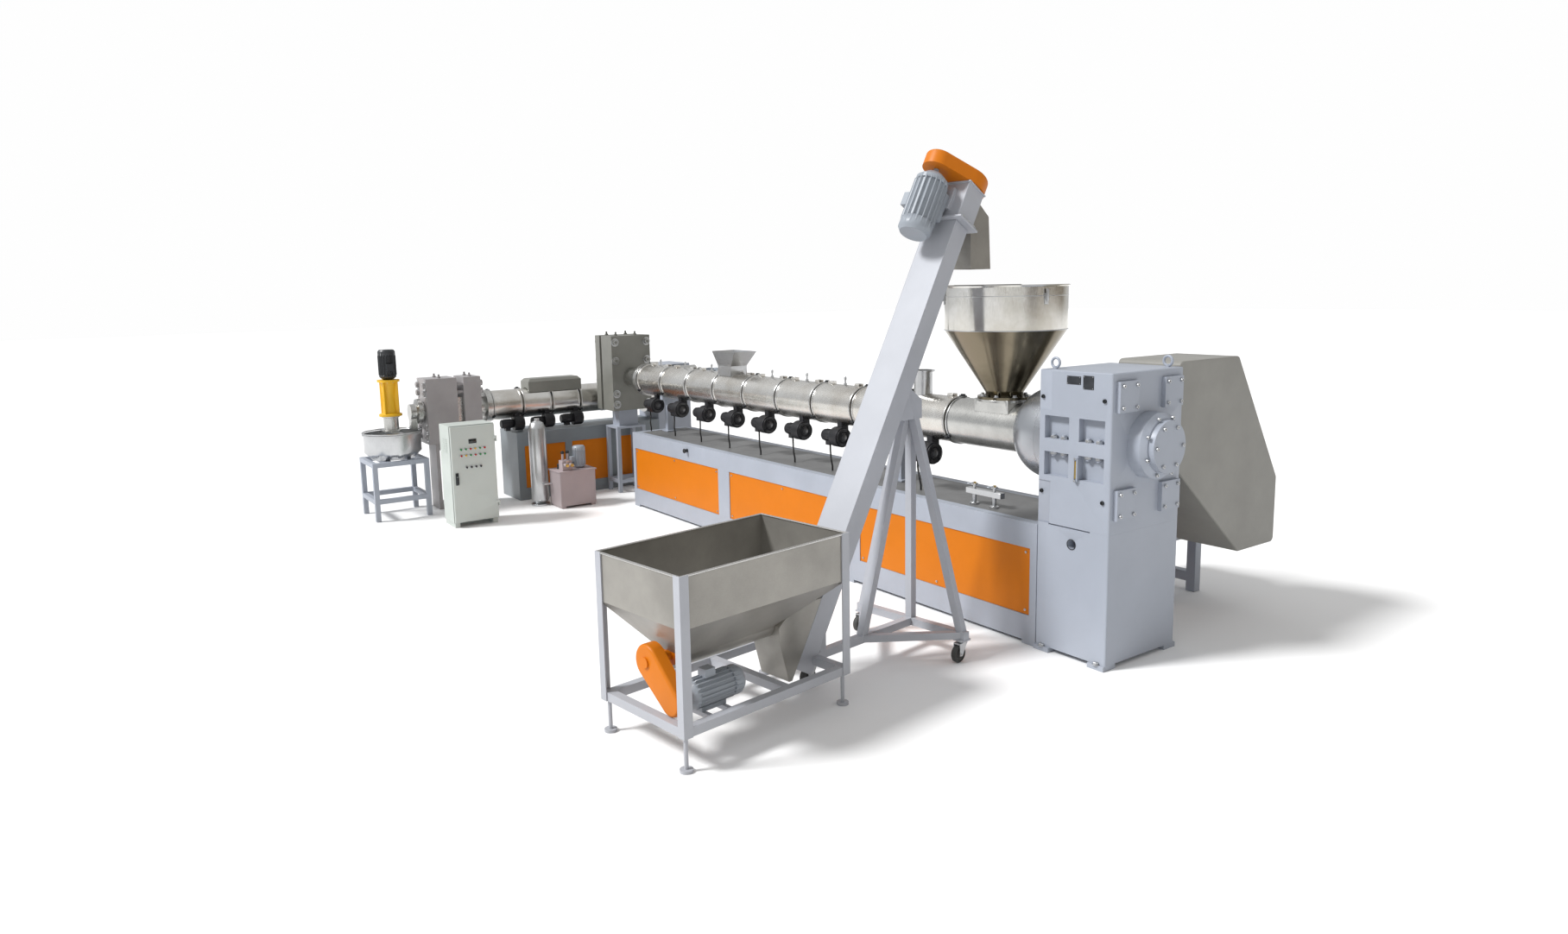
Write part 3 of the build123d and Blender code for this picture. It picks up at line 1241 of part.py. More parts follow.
# Cutting head and water tank
def make_water_tank():
    """Round water tank on a tube stand, with the cutter's upright drive, below the second die."""
    x = water_x
    y = water_y
    r = water_radius
    tank = turned([(0, water_low_z), (r - water_chamfer, water_low_z), (r, water_low_z + water_chamfer),
                   (r, water_high_z - 12), (r + 12, water_high_z - 12), (r + 12, water_high_z),
                   (r - sheet, water_high_z), (r - sheet, water_low_z + water_chamfer + 1),
                   (r - water_chamfer - 1, water_low_z + sheet), (0, water_low_z + sheet)], Pos(x, y, 0))
    tank += block(x - r - 4, x + r + 4, y - 40, y + 40, water_high_z, water_high_z + 14)
    nodes["water_tank"] = tank

    half = water_stand_size / 2
    t = 40
    top = water_low_z - seat - t
    stand = []
    for sx in (-1, 1):
        for sy in (-1, 1):
            x0 = x + sx * half
            y0 = y + sy * half
            stand.append(block(x0, x0 - sx * t, y0, y0 - sy * t, 0, top + t))
    for z in (150, top):
        stand.append(block(x - half, x + half, y - half, y - half + t, z, z + t))
        stand.append(block(x - half, x + half, y + half - t, y + half, z, z + t))
        stand.append(block(x - half, x - half + t, y - half, y + half, z, z + t))
        stand.append(block(x + half - t, x + half, y - half, y + half, z, z + t))
    for side in (-1, 1):
        stand.append(block(x - half, x + half, y + side * 90 - t / 2, y + side * 90 + t / 2, top, top + t))
    nodes["water_stand"] = merged(stand)

    hub_low = water_high_z + 14 + seat
    hub_high = hub_low + cutter_hub_height
    r = cutter_hub_radius
    hub = turned([(0, hub_low), (r * 1.3, hub_low), (r * 1.3, hub_low + 12), (r, hub_low + 16), (r, hub_high - 14),
                  (r * 1.2, hub_high - 10), (r * 1.2, hub_high), (0, hub_high)], Pos(x, y, 0))
    z0 = hub_high + seat
    z1 = z0 + water_stool_height
    stool = turned([(0, z0), (95, z0), (95, z0 + 18), (58, z0 + 30), (50, z0 + 150), (64, z1 - 24), (92, z1 - 18),
                    (92, z1), (0, z1)], Pos(x, y, 0))
    for turn in range(4):
        stool += Pos(x, y, 0) * Rot(0, 0, 45 + 90 * turn) * block(45, 85, -5, 5, z0 + 10, z1 - 15)
    nodes["cutter_stool"] = stool
    place = Pos(x, y, z1 + seat) * Rot(180, 0, 0)
    nodes["cutter_motor"] = place * motor(water_motor_radius, water_motor_length, fins=20, box_side=0)

    far = second_changer_y - second_changer_near - second_changer_gap - second_changer_far
    die = turned([(0, far - 120), (70, far - 120), (70, far - 70), (112, far - 60), (112, far - 24), (80, far - 24),
                  (80, far - seat), (0, far - seat)], along_y(second_x, 0, second_z))
    chute_low = water_high_z + 4
    die += block(second_x - 40, second_x + 40, far - 118, far - 66, chute_low, second_z)
    nodes["die_head"] = solids_of([die, hub])


def make_manifold():
    """Cooling water manifold with two valves on the deck, by the feed section."""
    y = -160
    x0 = feed_start - 330
    pieces = [block(x0, x0 + 260, y - 18, y + 18, bed_top + 60, bed_top + 92)]
    for x in (x0 + 50, x0 + 200):
        pieces.append(rod_z(x, y, bed_top + seat, bed_top + 62, 12))
        pieces.append(rod_z(x, y, bed_top + seat, bed_top + 10, 26))
        pieces.append(rod_z(x, y, bed_top + 90, bed_top + 118, 9))
        pieces.append(rod_z(x, y, bed_top + 112, bed_top + 120, 20))
    nodes["cooling_manifold"] = merged(pieces)


make_bed()
make_gear_case()
make_barrel()
make_blowers()
make_vents()
make_hopper()
make_drive()
make_first_changer()
make_second()
make_trough()
make_loader()
make_stand()
make_casters()
make_cabinet()
make_hydraulics()
make_water_tank()
make_manifold()

os.makedirs("parts", exist_ok=True)
for name, shape in nodes.items():
    export_step(shape, f"parts/{name}.step")
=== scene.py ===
"""Looks of the two-stage plastic recycling line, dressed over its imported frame.

Metres, +Z up, in the frame's own coordinates. Every new piece is a surface worked out with
numpy: a profile turned about an axis, an outline carried along a path, or a rounded box.
"""
import json
import math

import bmesh
import bpy
import numpy as np
from bpy.props import FloatProperty, FloatVectorProperty, IntProperty, PointerProperty
from mathutils import Matrix, Vector

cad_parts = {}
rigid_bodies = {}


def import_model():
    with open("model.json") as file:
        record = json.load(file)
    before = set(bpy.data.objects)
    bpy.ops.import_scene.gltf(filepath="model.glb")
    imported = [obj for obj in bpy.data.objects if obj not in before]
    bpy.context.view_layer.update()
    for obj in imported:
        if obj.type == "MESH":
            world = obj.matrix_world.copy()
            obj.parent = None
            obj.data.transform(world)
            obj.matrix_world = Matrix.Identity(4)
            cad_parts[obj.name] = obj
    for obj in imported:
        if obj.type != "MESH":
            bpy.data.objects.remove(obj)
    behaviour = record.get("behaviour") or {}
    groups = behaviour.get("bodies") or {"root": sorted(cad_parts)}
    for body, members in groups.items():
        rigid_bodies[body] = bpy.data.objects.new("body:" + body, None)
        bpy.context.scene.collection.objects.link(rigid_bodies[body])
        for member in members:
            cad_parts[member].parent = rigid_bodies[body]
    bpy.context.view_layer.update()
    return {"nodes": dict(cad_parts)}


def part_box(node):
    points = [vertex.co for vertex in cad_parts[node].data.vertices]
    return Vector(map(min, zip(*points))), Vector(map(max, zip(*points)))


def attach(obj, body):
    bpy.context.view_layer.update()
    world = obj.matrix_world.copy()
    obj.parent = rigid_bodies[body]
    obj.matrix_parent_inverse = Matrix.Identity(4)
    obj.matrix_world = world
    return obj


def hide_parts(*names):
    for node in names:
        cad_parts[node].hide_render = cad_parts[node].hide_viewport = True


bl_info = {
    "name": "Plastic Recycling Line",
    "version": (1, 0, 0),
    "blender": (4, 5, 0),
    "location": "View3D > Sidebar > Recycling Line",
    "description": "Dresses a two-stage extrusion line with its loader, drives and cutting head",
    "category": "Object",
}

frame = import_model()

# Sizes taken from the source of the solids, in metres and degrees
hopper_radius = 0.337
hopper_seam = 1.652
loader_angle = 8.162
loader_offset = 0.056
loader_reach = 1.568
tray_length = 0.951
tray_width = 0.571
rail_low = 0.147
rail_high = 0.185
tube_slope = 60
tube_inset = 0.098
tube_foot = 0.127
tube_length = 2.402
cover_count = 9
cover_gap = 0.016
cover_lip = 0.004
cover_outer = 0.141
second_count = 4
vent_places = (-3.556, -1.367)
case_half = 0.285
split_line = 1.090
bearing_axis = 1.105
door_face = -4.914
unit_corner = (-5.048, -0.880, 0.335)

# The camera solved from the photograph: its place, its axes in the line's frame, and its lens shift
camera_place = (3.1232, -4.2703, 1.8918)
camera_right = (0.57647, 0.81690, -0.01898)
camera_up = (-0.10447, 0.09672, 0.98981)
camera_ahead = (-0.81041, 0.56861, -0.14110)
camera_shift = (0.00496, -0.02258)

# Soft boxes and flags round the horizon: the compass angle in degrees from +X, and the light there
horizon_boxes = [(-180, (0.92, 0.94, 0.97)), (-121, (0.92, 0.94, 0.97)), (-114, (0.13, 0.12, 0.09)),
                 (-92, (0.13, 0.12, 0.09)), (-86, (1.0, 1.0, 1.0)), (-16, (0.80, 0.80, 0.78)),
                 (-2, (0.16, 0.13, 0.10)), (8, (0.16, 0.13, 0.10)), (14, (0.40, 0.35, 0.28)),
                 (78, (0.36, 0.31, 0.25)), (92, (0.9, 0.9, 0.9)), (180, (0.92, 0.94, 0.97))]


# Surfaces worked out as whole arrays

def grid_faces(rows, cols):
    """Quads between rows of points that each close on themselves, numbered row by row."""
    i, j = np.meshgrid(np.arange(rows - 1), np.arange(cols), indexing="ij")
    here = i * cols + j
    beside = i * cols + (j + 1) % cols
    return np.stack([here, beside, beside + cols, here + cols], -1).reshape(-1, 4)


def place_at(origin, z_axis=(0, 0, 1), x_hint=(1, 0, 0)):
    """A 3 by 4 place: local x, y, z axes as columns and the origin, with z along z_axis."""
    z = np.array(z_axis, float)
    z /= np.linalg.norm(z)
    x = np.array(x_hint, float)
    x -= z * x.dot(z)
    if np.linalg.norm(x) < 1e-6:
        x = np.array((0.0, 1.0, 0.0)) - z * z[1]
    x /= np.linalg.norm(x)
    return np.column_stack([x, np.cross(z, x), z, np.array(origin, float)])


def put(points, place):
    """Local points carried to a place."""
    return points @ place[:, :3].T + place[:, 3]


def turned(profile, place, sides=48):
    """A profile of (radius, height) turned about the place's z: x = r cos a, y = r sin a, z = h.
    A ring of no radius is closed by its own row of equal points, which the welding joins."""
    prof = np.array(profile, float)
    a = np.linspace(0, 2 * math.pi, sides, endpoint=False)
    ring = np.stack([np.cos(a), np.sin(a), np.zeros(sides)], -1)
    pts = prof[:, None, :1] * ring[None] + prof[:, None, 1:] * np.array((0.0, 0.0, 1.0))
    return put(pts.reshape(-1, 3), place), grid_faces(len(prof), sides)


def rounded_outline(width, depth, radius, steps):
    """The outline of a rounded rectangle, anticlockwise: quarter circles about the corners' centres."""
    quarter = np.linspace(0, math.pi / 2, steps)
    angles = (quarter[None] + np.arange(4)[:, None] * math.pi / 2).ravel()
    sx = np.repeat([1, -1, -1, 1], steps) * (width / 2 - radius)
    sy = np.repeat([1, 1, -1, -1], steps) * (depth / 2 - radius)
    return np.stack([sx + radius * np.cos(angles), sy + radius * np.sin(angles)], -1)


def rounded_box(low, high, radius, place=None, steps=3):
    """A box with rounded corners and edges: its outline shrinks by r (1 - sin t) as it nears each end,
    while the height moves by r (1 - cos t), and the ends close on the middle."""
    low = np.array(low, float)
    high = np.array(high, float)
    size = high - low
    middle = size[:2].min() / 2
    radius = min(radius, 0.49 * size.min())
    t = np.linspace(0, math.pi / 2, steps)
    curve = list(zip(radius * (1 - np.sin(t)), radius * (1 - np.cos(t))))
    levels = [(middle, 0.0), *curve, *[(inset, size[2] - rise) for inset, rise in curve[::-1]],
              (middle, size[2])]
    rows = []
    for inset, height in levels:
        wide, deep = np.maximum(size[:2] - 2 * inset, 2e-5)
        flat = rounded_outline(wide, deep, max(radius - inset, 1e-5), steps)
        rows.append(np.column_stack([flat, np.full(len(flat), height)]))
    pts = np.concatenate(rows) + np.array([(low[0] + high[0]) / 2, (low[1] + high[1]) / 2, low[2]])
    if place is not None:
        pts = put(pts, place)
    return pts, grid_faces(len(levels), len(rows[0]))


def pipe(path, radius, sides=8):
    """A round tube along points: rings at right angles to the mean direction at each point,
    with the ring's x axis at right angles to that direction and to a fixed side vector."""
    p = np.array(path, float)
    run = np.gradient(p, axis=0)
    run /= np.linalg.norm(run, axis=1)[:, None]
    x = np.cross(run, (0.31, 0.17, 0.935))
    x /= np.linalg.norm(x, axis=1)[:, None]
    y = np.cross(run, x)
    a = np.linspace(0, 2 * math.pi, sides, endpoint=False)[:, None]
    rings = p[:, None] + radius * (np.cos(a) * x[:, None] + np.sin(a) * y[:, None])
    start, end = (np.repeat(p[i:i + 1, None], sides, 1) for i in (0, len(p) - 1))
    rings = np.concatenate([start, rings, end])
    return rings.reshape(-1, 3), grid_faces(len(rings), sides)


def hexagon(place, across, height):
    """A hexagonal bolt head or nut on a place: a six-sided outline with a chamfered top."""
    r = across / math.sqrt(3)
    return turned([(0, 0), (r, 0), (r, height * 0.85), (r * 0.86, height), (0, height)], place, 6)


def slab(outline, low, high):
    """A level outline of (x, y) points given a thickness from low to high, closed on its middle."""
    flat = np.array(outline, float)
    mid = np.tile(flat.mean(0), (len(flat), 1))
    rows = [(mid, low), (flat, low), (flat, high), (mid, high)]
    pts = np.concatenate([np.column_stack([row, np.full(len(flat), height)]) for row, height in rows])
    return pts, grid_faces(len(rows), len(flat))


def ring_places(centre, axis, radius, count, start=0.0):
    """Places evenly spaced round a circle, all with their z along the circle's axis."""
    a = math.radians(start) + np.arange(count) * 2 * math.pi / count
    local = np.stack([radius * np.cos(a), radius * np.sin(a), np.zeros(count)], -1)
    return [place_at(point, axis) for point in put(local, place_at(centre, axis))]


def screws(places, across, height):
    """Socket screws: a low round head with a rounded rim and a sunk socket."""
    r = across / 2
    socket = height * 0.45
    profile = [(0, 0), (r, 0), (r, height * 0.7), (r * 0.85, height), (r * 0.45, height), (r * 0.4, socket),
               (0, socket)]
    return [turned(profile, place, 16) for place in places]


def washered(places, across, height):
    """Hexagon heads on round washers."""
    rim = across * 0.82
    washer = [(0, 0), (rim, 0), (rim, height * 0.2), (0, height * 0.2)]
    heads = [hexagon(place, across, height) for place in places]
    return heads + [turned(washer, place, 20) for place in places]


def hoop(place, radius, thickness, sides=48):
    """A ring of round wire about the place's z axis: a circle of points carried round a larger circle."""
    t = np.linspace(0, 2 * math.pi, 9)
    profile = np.stack([radius + thickness * np.cos(t), thickness * np.sin(t)], -1)
    return turned(profile, place, sides)


def box_of(node):
    """A node's lowest and highest corners at rest, as arrays."""
    low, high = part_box(node)
    return np.array(low), np.array(high)


def in_loader(x, y, z):
    """A point of the loader's own frame (across, along, up) in the line's frame."""
    low, high = box_of("feed_hopper")
    turn = math.radians(loader_angle)
    dx = x - loader_offset
    dy = y - tray_length - loader_reach
    return np.array(((low[0] + high[0]) / 2 + dx * math.cos(turn) - dy * math.sin(turn),
                     dx * math.sin(turn) + dy * math.cos(turn), z))


def cover_row():
    """The first seam between the covers of the first barrel, and the covers' pitch."""
    low, high = box_of("heater_covers")
    first = high[0] + cover_gap / 2
    return first, (first - low[0] + cover_gap / 2) / cover_count


def panel_bays(low, high, count, stile):
    """Start and end of each panel between stiles of one width."""
    width = (high - low - stile * (count - 1)) / count
    return [(low + i * (width + stile), low + i * (width + stile) + width) for i in range(count)]


# Pieces

def mesh_of(name, surfaces):
    """One mesh from several surfaces, with poles welded and faces turned outwards."""
    weld = 1e-5
    starts = np.cumsum([0] + [len(pts) for pts, faces in surfaces])
    points = np.concatenate([pts for pts, faces in surfaces])
    quads = np.concatenate([faces + start for (pts, faces), start in zip(surfaces, starts)])
    mesh = bpy.data.meshes.new(name)
    mesh.vertices.add(len(points))
    mesh.vertices.foreach_set("co", points.astype(np.float32).ravel())
    mesh.loops.add(len(quads) * 4)
    mesh.loops.foreach_set("vertex_index", quads.astype(np.int32).ravel())
    mesh.polygons.add(len(quads))
    mesh.polygons.foreach_set("loop_start", np.arange(0, len(quads) * 4, 4, dtype=np.int32))
    mesh.update(calc_edges=True)
    bm = bmesh.new()
    bm.from_mesh(mesh)
    bmesh.ops.remove_doubles(bm, verts=bm.verts, dist=weld)
    bmesh.ops.dissolve_degenerate(bm, dist=weld / 2, edges=bm.edges)
    bmesh.ops.recalc_face_normals(bm, faces=bm.faces)
    bm.to_mesh(mesh)
    bm.free()
    return mesh


def shown(name, mesh, look, sharp, body, replaced):
    """An object of a mesh with its finish, riding on its body and the nodes it replaces."""
    mesh.materials.clear()
    mesh.materials.append(finish[look])
    mesh.shade_smooth()
    mesh.set_sharp_from_angle(angle=math.radians(sharp))
    piece = bpy.data.objects.new(name, mesh)
    bpy.context.scene.collection.objects.link(piece)
    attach(piece, body)
    if replaced:
        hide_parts(*replaced)
    return piece


def new_piece(name, surfaces, look, body="line", sharp=35, replaced=()):
    """A finished piece made of new surfaces."""
    return shown(name, mesh_of(name, surfaces), look, sharp, body, replaced)


def dress(node, look, bevel, body="line"):
    """A welded copy of a CAD node with flat faces joined, soft edges and its finish."""
    name = node + "_skin"
    mesh = frame["nodes"][node].data.copy()
    mesh.name = name
    bm = bmesh.new()
    bm.from_mesh(mesh)
    bmesh.ops.remove_doubles(bm, verts=bm.verts, dist=2e-5)
    bmesh.ops.recalc_face_normals(bm, faces=bm.faces)
    bmesh.ops.dissolve_limit(bm, angle_limit=math.radians(0.6), verts=bm.verts, edges=bm.edges)
    bm.to_mesh(mesh)
    bm.free()
    piece = shown(name, mesh, look, 32, body, (node,))
    if bevel:
        soft = piece.modifiers.new("soft_edges", "BEVEL")
        soft.width = bevel
        soft.segments = 2
        soft.limit_method = "ANGLE"
        soft.angle_limit = math.radians(40)
    return piece


# Finishes

# A colour mix node's two colours and its result, which share their names with its other kinds
mix_first, mix_second, mix_result = 6, 7, 2
dust_colour = (0.30, 0.27, 0.23, 1)
dust_height = 0.35


def add_node(tree, kind, **values):
    """A new node with its input values and its settings."""
    node = tree.nodes.new(kind)
    for key, value in values.items():
        if key in node.inputs:
            node.inputs[key].default_value = value
        else:
            setattr(node, key, value)
    return node


def join(a, out, b, into):
    """Joins an output of one node to an input of another."""
    a.id_data.links.new(a.outputs[out], b.inputs[into])


def new_material(name, shine=0.5, metal=0.0):
    """A new material, its node tree and its shader."""
    material = bpy.data.materials.new(name)
    material.use_nodes = True
    shader = material.node_tree.nodes["Principled BSDF"]
    shader.inputs["Specular IOR Level"].default_value = shine
    shader.inputs["Metallic"].default_value = metal
    return material, material.node_tree, shader


def noise(tree, scale, detail, rough=0.5, stretch=None):
    """Noise in the piece's own coordinates, which a stretch squeezes along each axis."""
    source, out = add_node(tree, "ShaderNodeTexCoord"), "Object"
    if stretch:
        where = source
        source, out = add_node(tree, "ShaderNodeMapping", Scale=stretch), "Vector"
        join(where, "Object", source, "Vector")
    node = add_node(tree, "ShaderNodeTexNoise", Scale=scale, Detail=detail, Roughness=rough)
    join(source, out, node, "Vector")
    return node


def ramp(tree, source, stops):
    """A colour ramp with (place, colour) stops, led by a node's factor."""
    node = add_node(tree, "ShaderNodeValToRGB")
    points = node.color_ramp.elements
    while len(points) < len(stops):
        points.new(0.5)
    for point, (where, colour) in zip(points, stops):
        point.position = where
        point.color = (*colour, 1)
    join(source, "Fac", node, "Fac")
    return node


def spread(tree, source, out, low, high, start=0.0, stop=1.0):
    """A node's output between start and stop carried onto low to high."""
    limits = {"From Min": start, "From Max": stop, "To Min": low, "To Max": high}
    node = add_node(tree, "ShaderNodeMapRange", **limits)
    join(source, out, node, "Value")
    return node


def relief(tree, shader, source, strength, distance):
    """Fine relief in the shading, led by a noise."""
    node = add_node(tree, "ShaderNodeBump", Strength=strength, Distance=distance)
    join(source, "Fac", node, "Height")
    join(node, "Normal", shader, "Normal")


def paint(name, colour, rough=0.4, mottle=0.06, grime=0.25, shine=0.5, metal=0.0):
    """Sprayed paint: a slow mottle in the colour, dust towards the floor and a fine orange peel."""
    material, tree, shader = new_material(name, shine, metal)
    base = np.array(colour)
    stops = [(0.3, base * (1 - mottle)), (0.7, np.minimum(base * (1 + mottle), 1))]
    tone = ramp(tree, noise(tree, 3.0, 4.0, 0.6), stops)
    split = add_node(tree, "ShaderNodeSeparateXYZ")
    join(add_node(tree, "ShaderNodeTexCoord"), "Object", split, "Vector")
    height = spread(tree, split, "Z", grime, 0.0, 0.0, dust_height)
    patch = noise(tree, 9.0, 6.0, 0.7)
    amount = add_node(tree, "ShaderNodeMath", operation="MULTIPLY")
    join(height, "Result", amount, 0)
    join(patch, "Fac", amount, 1)
    dusty = add_node(tree, "ShaderNodeMix", data_type="RGBA")
    dusty.inputs[mix_second].default_value = dust_colour
    join(amount, "Value", dusty, 0)
    join(tone, "Color", dusty, mix_first)
    join(dusty, mix_result, shader, "Base Color")
    join(spread(tree, patch, "Fac", rough - 0.07, rough + 0.12), "Result", shader, "Roughness")
    relief(tree, shader, noise(tree, 220.0, 2.0), 0.02, 0.001)
    return material


def brushed(name, colour, stretch, rough=0.28, tone=0.12, lines=0.12, dark=None, blotch=4.0, metal=1.0):
    """Brushed metal: fine lines stretched along one axis, slow blotches in tone and gloss."""
    material, tree, shader = new_material(name, metal=metal)
    grain = noise(tree, 60.0, 3.0, 0.65, stretch)
    base = np.array(colour)
    low = base * (1 - tone) if dark is None else dark
    stops = [(0.32, low), (0.62, np.minimum(base * (1 + tone / 3), 1))]
    blotches = ramp(tree, noise(tree, blotch, 5.0, 0.6), stops)
    streaks = ramp(tree, grain, [(0.3, (1 - lines,) * 3), (0.7, (1.0,) * 3)])
    both = add_node(tree, "ShaderNodeMix", data_type="RGBA", blend_type="MULTIPLY")
    both.inputs[0].default_value = 1.0
    join(blotches, "Color", both, mix_first)
    join(streaks, "Color", both, mix_second)
    join(both, mix_result, shader, "Base Color")
    join(spread(tree, grain, "Fac", rough - 0.08, rough + 0.14), "Result", shader, "Roughness")
    relief(tree, shader, grain, 0.06, 0.0006)
    return material


def black_cast(name, colour=(0.012, 0.012, 0.014), rough=0.38):
    """Dark enamel over a cast skin: a fine pebble in the relief and slight dust."""
    material, tree, shader = new_material(name, shine=0.3)
    base = np.array(colour)
    dust = noise(tree, 14.0, 5.0)
    tone = ramp(tree, dust, [(0.35, base), (0.8, base * 1.6 + 0.004)])
    join(tone, "Color", shader, "Base Color")
    join(spread(tree, dust, "Fac", rough - 0.06, rough + 0.15), "Result", shader, "Roughness")
    relief(tree, shader, noise(tree, 160.0, 3.0), 0.08, 0.001)
    return material


def gloss_plastic(name, colour, rough):
    """Moulded plastic or glass: an even colour with slight clouds in tone and gloss."""
    material, tree, shader = new_material(name)
    base = np.array(colour)
    cloud = noise(tree, 40.0, 3.0)
    tone = ramp(tree, cloud, [(0.3, base * 0.85), (0.7, np.minimum(base * 1.1 + 0.003, 1))])
    join(tone, "Color", shader, "Base Color")
    join(spread(tree, cloud, "Fac", rough * 0.8, rough * 1.3), "Result", shader, "Roughness")
    shader.inputs["Coat Weight"].default_value = 0.4
    return material


finish = {}


def make_finishes(looks):
    """Every finish of the line, by the name that the pieces use for it."""
    orange = looks.panel_colour
    finish.update(
        frame=paint("frame_paint", looks.frame_colour, 0.42),
        case=paint("gear_case_paint", looks.case_colour, 0.36, mottle=0.04, grime=0.12),
        loader=paint("loader_paint", (0.42, 0.435, 0.475), 0.36, mottle=0.05),
        # Painted shade: the second bed's frame paint, darkened to stand in for the shade on its front.
        shaded_frame=paint("second_bed_painted_shade", (0.20, 0.225, 0.245), 0.42),
        # The deck's own dark grey, darkened further as painted shade for the barrel's shadow over it.
        deck=paint("deck_paint", (0.135, 0.135, 0.135), 0.42, mottle=0.2),
        orange=paint("panel_orange", orange, 0.5, mottle=0.04, grime=0.1, shine=0.2),
        guard_orange=paint("guard_orange", orange, 0.42, mottle=0.08, grime=0.15, shine=0.3),
        changer=paint("changer_paint", (0.19, 0.19, 0.17), 0.4, mottle=0.12),
        pale_changer=paint("second_changer_paint", (0.34, 0.325, 0.33), 0.4, mottle=0.12),
        motor=paint("motor_paint", (0.30, 0.33, 0.37), 0.38, mottle=0.08),
        dark_motor=paint("dark_motor_paint", (0.025, 0.028, 0.032), 0.35, mottle=0.2),
        guard=paint("drive_guard_paint", (0.25, 0.245, 0.225), 0.42, mottle=0.1),
        yellow=paint("stool_yellow", (0.80, 0.46, 0.012), 0.4, mottle=0.07),
        cabinet=paint("cabinet_paint", (0.52, 0.56, 0.53), 0.42, mottle=0.03, grime=0.1),
        oil_tank=paint("oil_tank_paint", (0.38, 0.32, 0.33), 0.4, mottle=0.08),
        silver=paint("silver_paint", (0.46, 0.48, 0.51), 0.26, mottle=0.05, grime=0.08, metal=0.8),
        lever=paint("lever_paint", (0.62, 0.66, 0.72), 0.4),
        cover=brushed("heater_cover_sheet", (0.80, 0.79, 0.76), (1.0, 12.0, 12.0), 0.24,
                      dark=(0.62, 0.585, 0.53), blotch=3.0),
        barrel=brushed("machined_barrel", (0.62, 0.62, 0.60), (14.0, 1.0, 1.0), 0.26, tone=0.2),
        tray=brushed("tray_sheet", (0.37, 0.355, 0.325), (12.0, 1.0, 12.0), 0.30, tone=0.22, blotch=2.2,
                     metal=0.5),
        hopper=brushed("polished_hopper_drum", (0.88, 0.87, 0.84), (12.0, 12.0, 0.6), 0.11,
                       dark=(0.60, 0.565, 0.49), blotch=3.0, lines=0.2),
        # Painted reflection: the cone is the drum's polished steel in dark browns, standing in for the dark
        # floor and machine it mirrors.
        cone=brushed("hopper_cone_painted_reflection", (0.25, 0.215, 0.155), (10.0, 10.0, 1.0), 0.15,
                     dark=(0.085, 0.075, 0.05), blotch=2.0, lines=0.2),
        steel=brushed("plain_steel", (0.62, 0.63, 0.64), (6.0, 6.0, 1.0), 0.28),
        zinc=brushed("zinc_plate", (0.58, 0.59, 0.60), (8.0, 8.0, 8.0), 0.32),
        plate=brushed("dark_name_plate", (0.10, 0.105, 0.115), (20.0, 1.0, 1.0), 0.35, tone=0.3),
        fan_plate=brushed("fan_plate", (0.16, 0.16, 0.165), (6.0, 6.0, 6.0), 0.35),
        tray_rim=brushed("tray_rim_steel", (0.66, 0.65, 0.63), (6.0, 6.0, 6.0), 0.24),
        weld=brushed("weld_bead", (0.40, 0.36, 0.30), (30.0, 30.0, 30.0), 0.4, tone=0.3),
        brass=brushed("brass_fitting", (0.72, 0.50, 0.18), (8.0, 8.0, 8.0), 0.25),
        black=black_cast("blower_enamel"),
        rubber=black_cast("hose_rubber", (0.010, 0.010, 0.010), 0.55),
        tyre=black_cast("caster_tyre", (0.05, 0.05, 0.048), 0.6),
        dark=black_cast("dark_recess", (0.02, 0.022, 0.024), 0.5),
        oil_glass=gloss_plastic("oil_glass", (0.30, 0.20, 0.03), 0.08),
        screen=gloss_plastic("display_glass", (0.008, 0.012, 0.010), 0.12),
        lamp_red=gloss_plastic("lamp_red", (0.45, 0.012, 0.010), 0.25),
        lamp_green=gloss_plastic("lamp_green", (0.015, 0.22, 0.05), 0.25),
        lamp_yellow=gloss_plastic("lamp_yellow", (0.60, 0.36, 0.02), 0.25),
        switch_black=gloss_plastic("switch_black", (0.012, 0.012, 0.013), 0.4))


def studio_world(strength):
    """Soft light from all round: bright overhead, and near the horizon tall soft boxes with dark flags
    between them, which polished metal needs. A ray of the camera itself meets plain white."""
    world = bpy.data.worlds.new("studio")
    world.use_nodes = True
    tree = world.node_tree
    back = tree.nodes["Background"]
    back.inputs["Strength"].default_value = strength
    where = add_node(tree, "ShaderNodeTexCoord")
    split = add_node(tree, "ShaderNodeSeparateXYZ")
    join(where, "Generated", split, "Vector")
    turn = add_node(tree, "ShaderNodeTexGradient", gradient_type="RADIAL")
    join(where, "Generated", turn, "Vector")
    flags = ramp(tree, turn, [(degrees / 360 + 0.5, colour) for degrees, colour in horizon_boxes])
    dome = add_node(tree, "ShaderNodeMix", data_type="RGBA")
    dome.inputs[mix_second].default_value = (1.0, 1.0, 1.0, 1)
    join(spread(tree, split, "Z", 0.0, 1.0, 0.22, 0.6), "Result", dome, 0)
    join(flags, "Color", dome, mix_first)
    plain = add_node(tree, "ShaderNodeMix", data_type="RGBA")
    plain.inputs[mix_second].default_value = (1.6, 1.6, 1.6, 1)
    join(add_node(tree, "ShaderNodeLightPath"), "Is Camera Ray", plain, 0)
    join(dome, mix_result, plain, mix_first)
    join(plain, mix_result, back, "Color")
    return world


# Settings

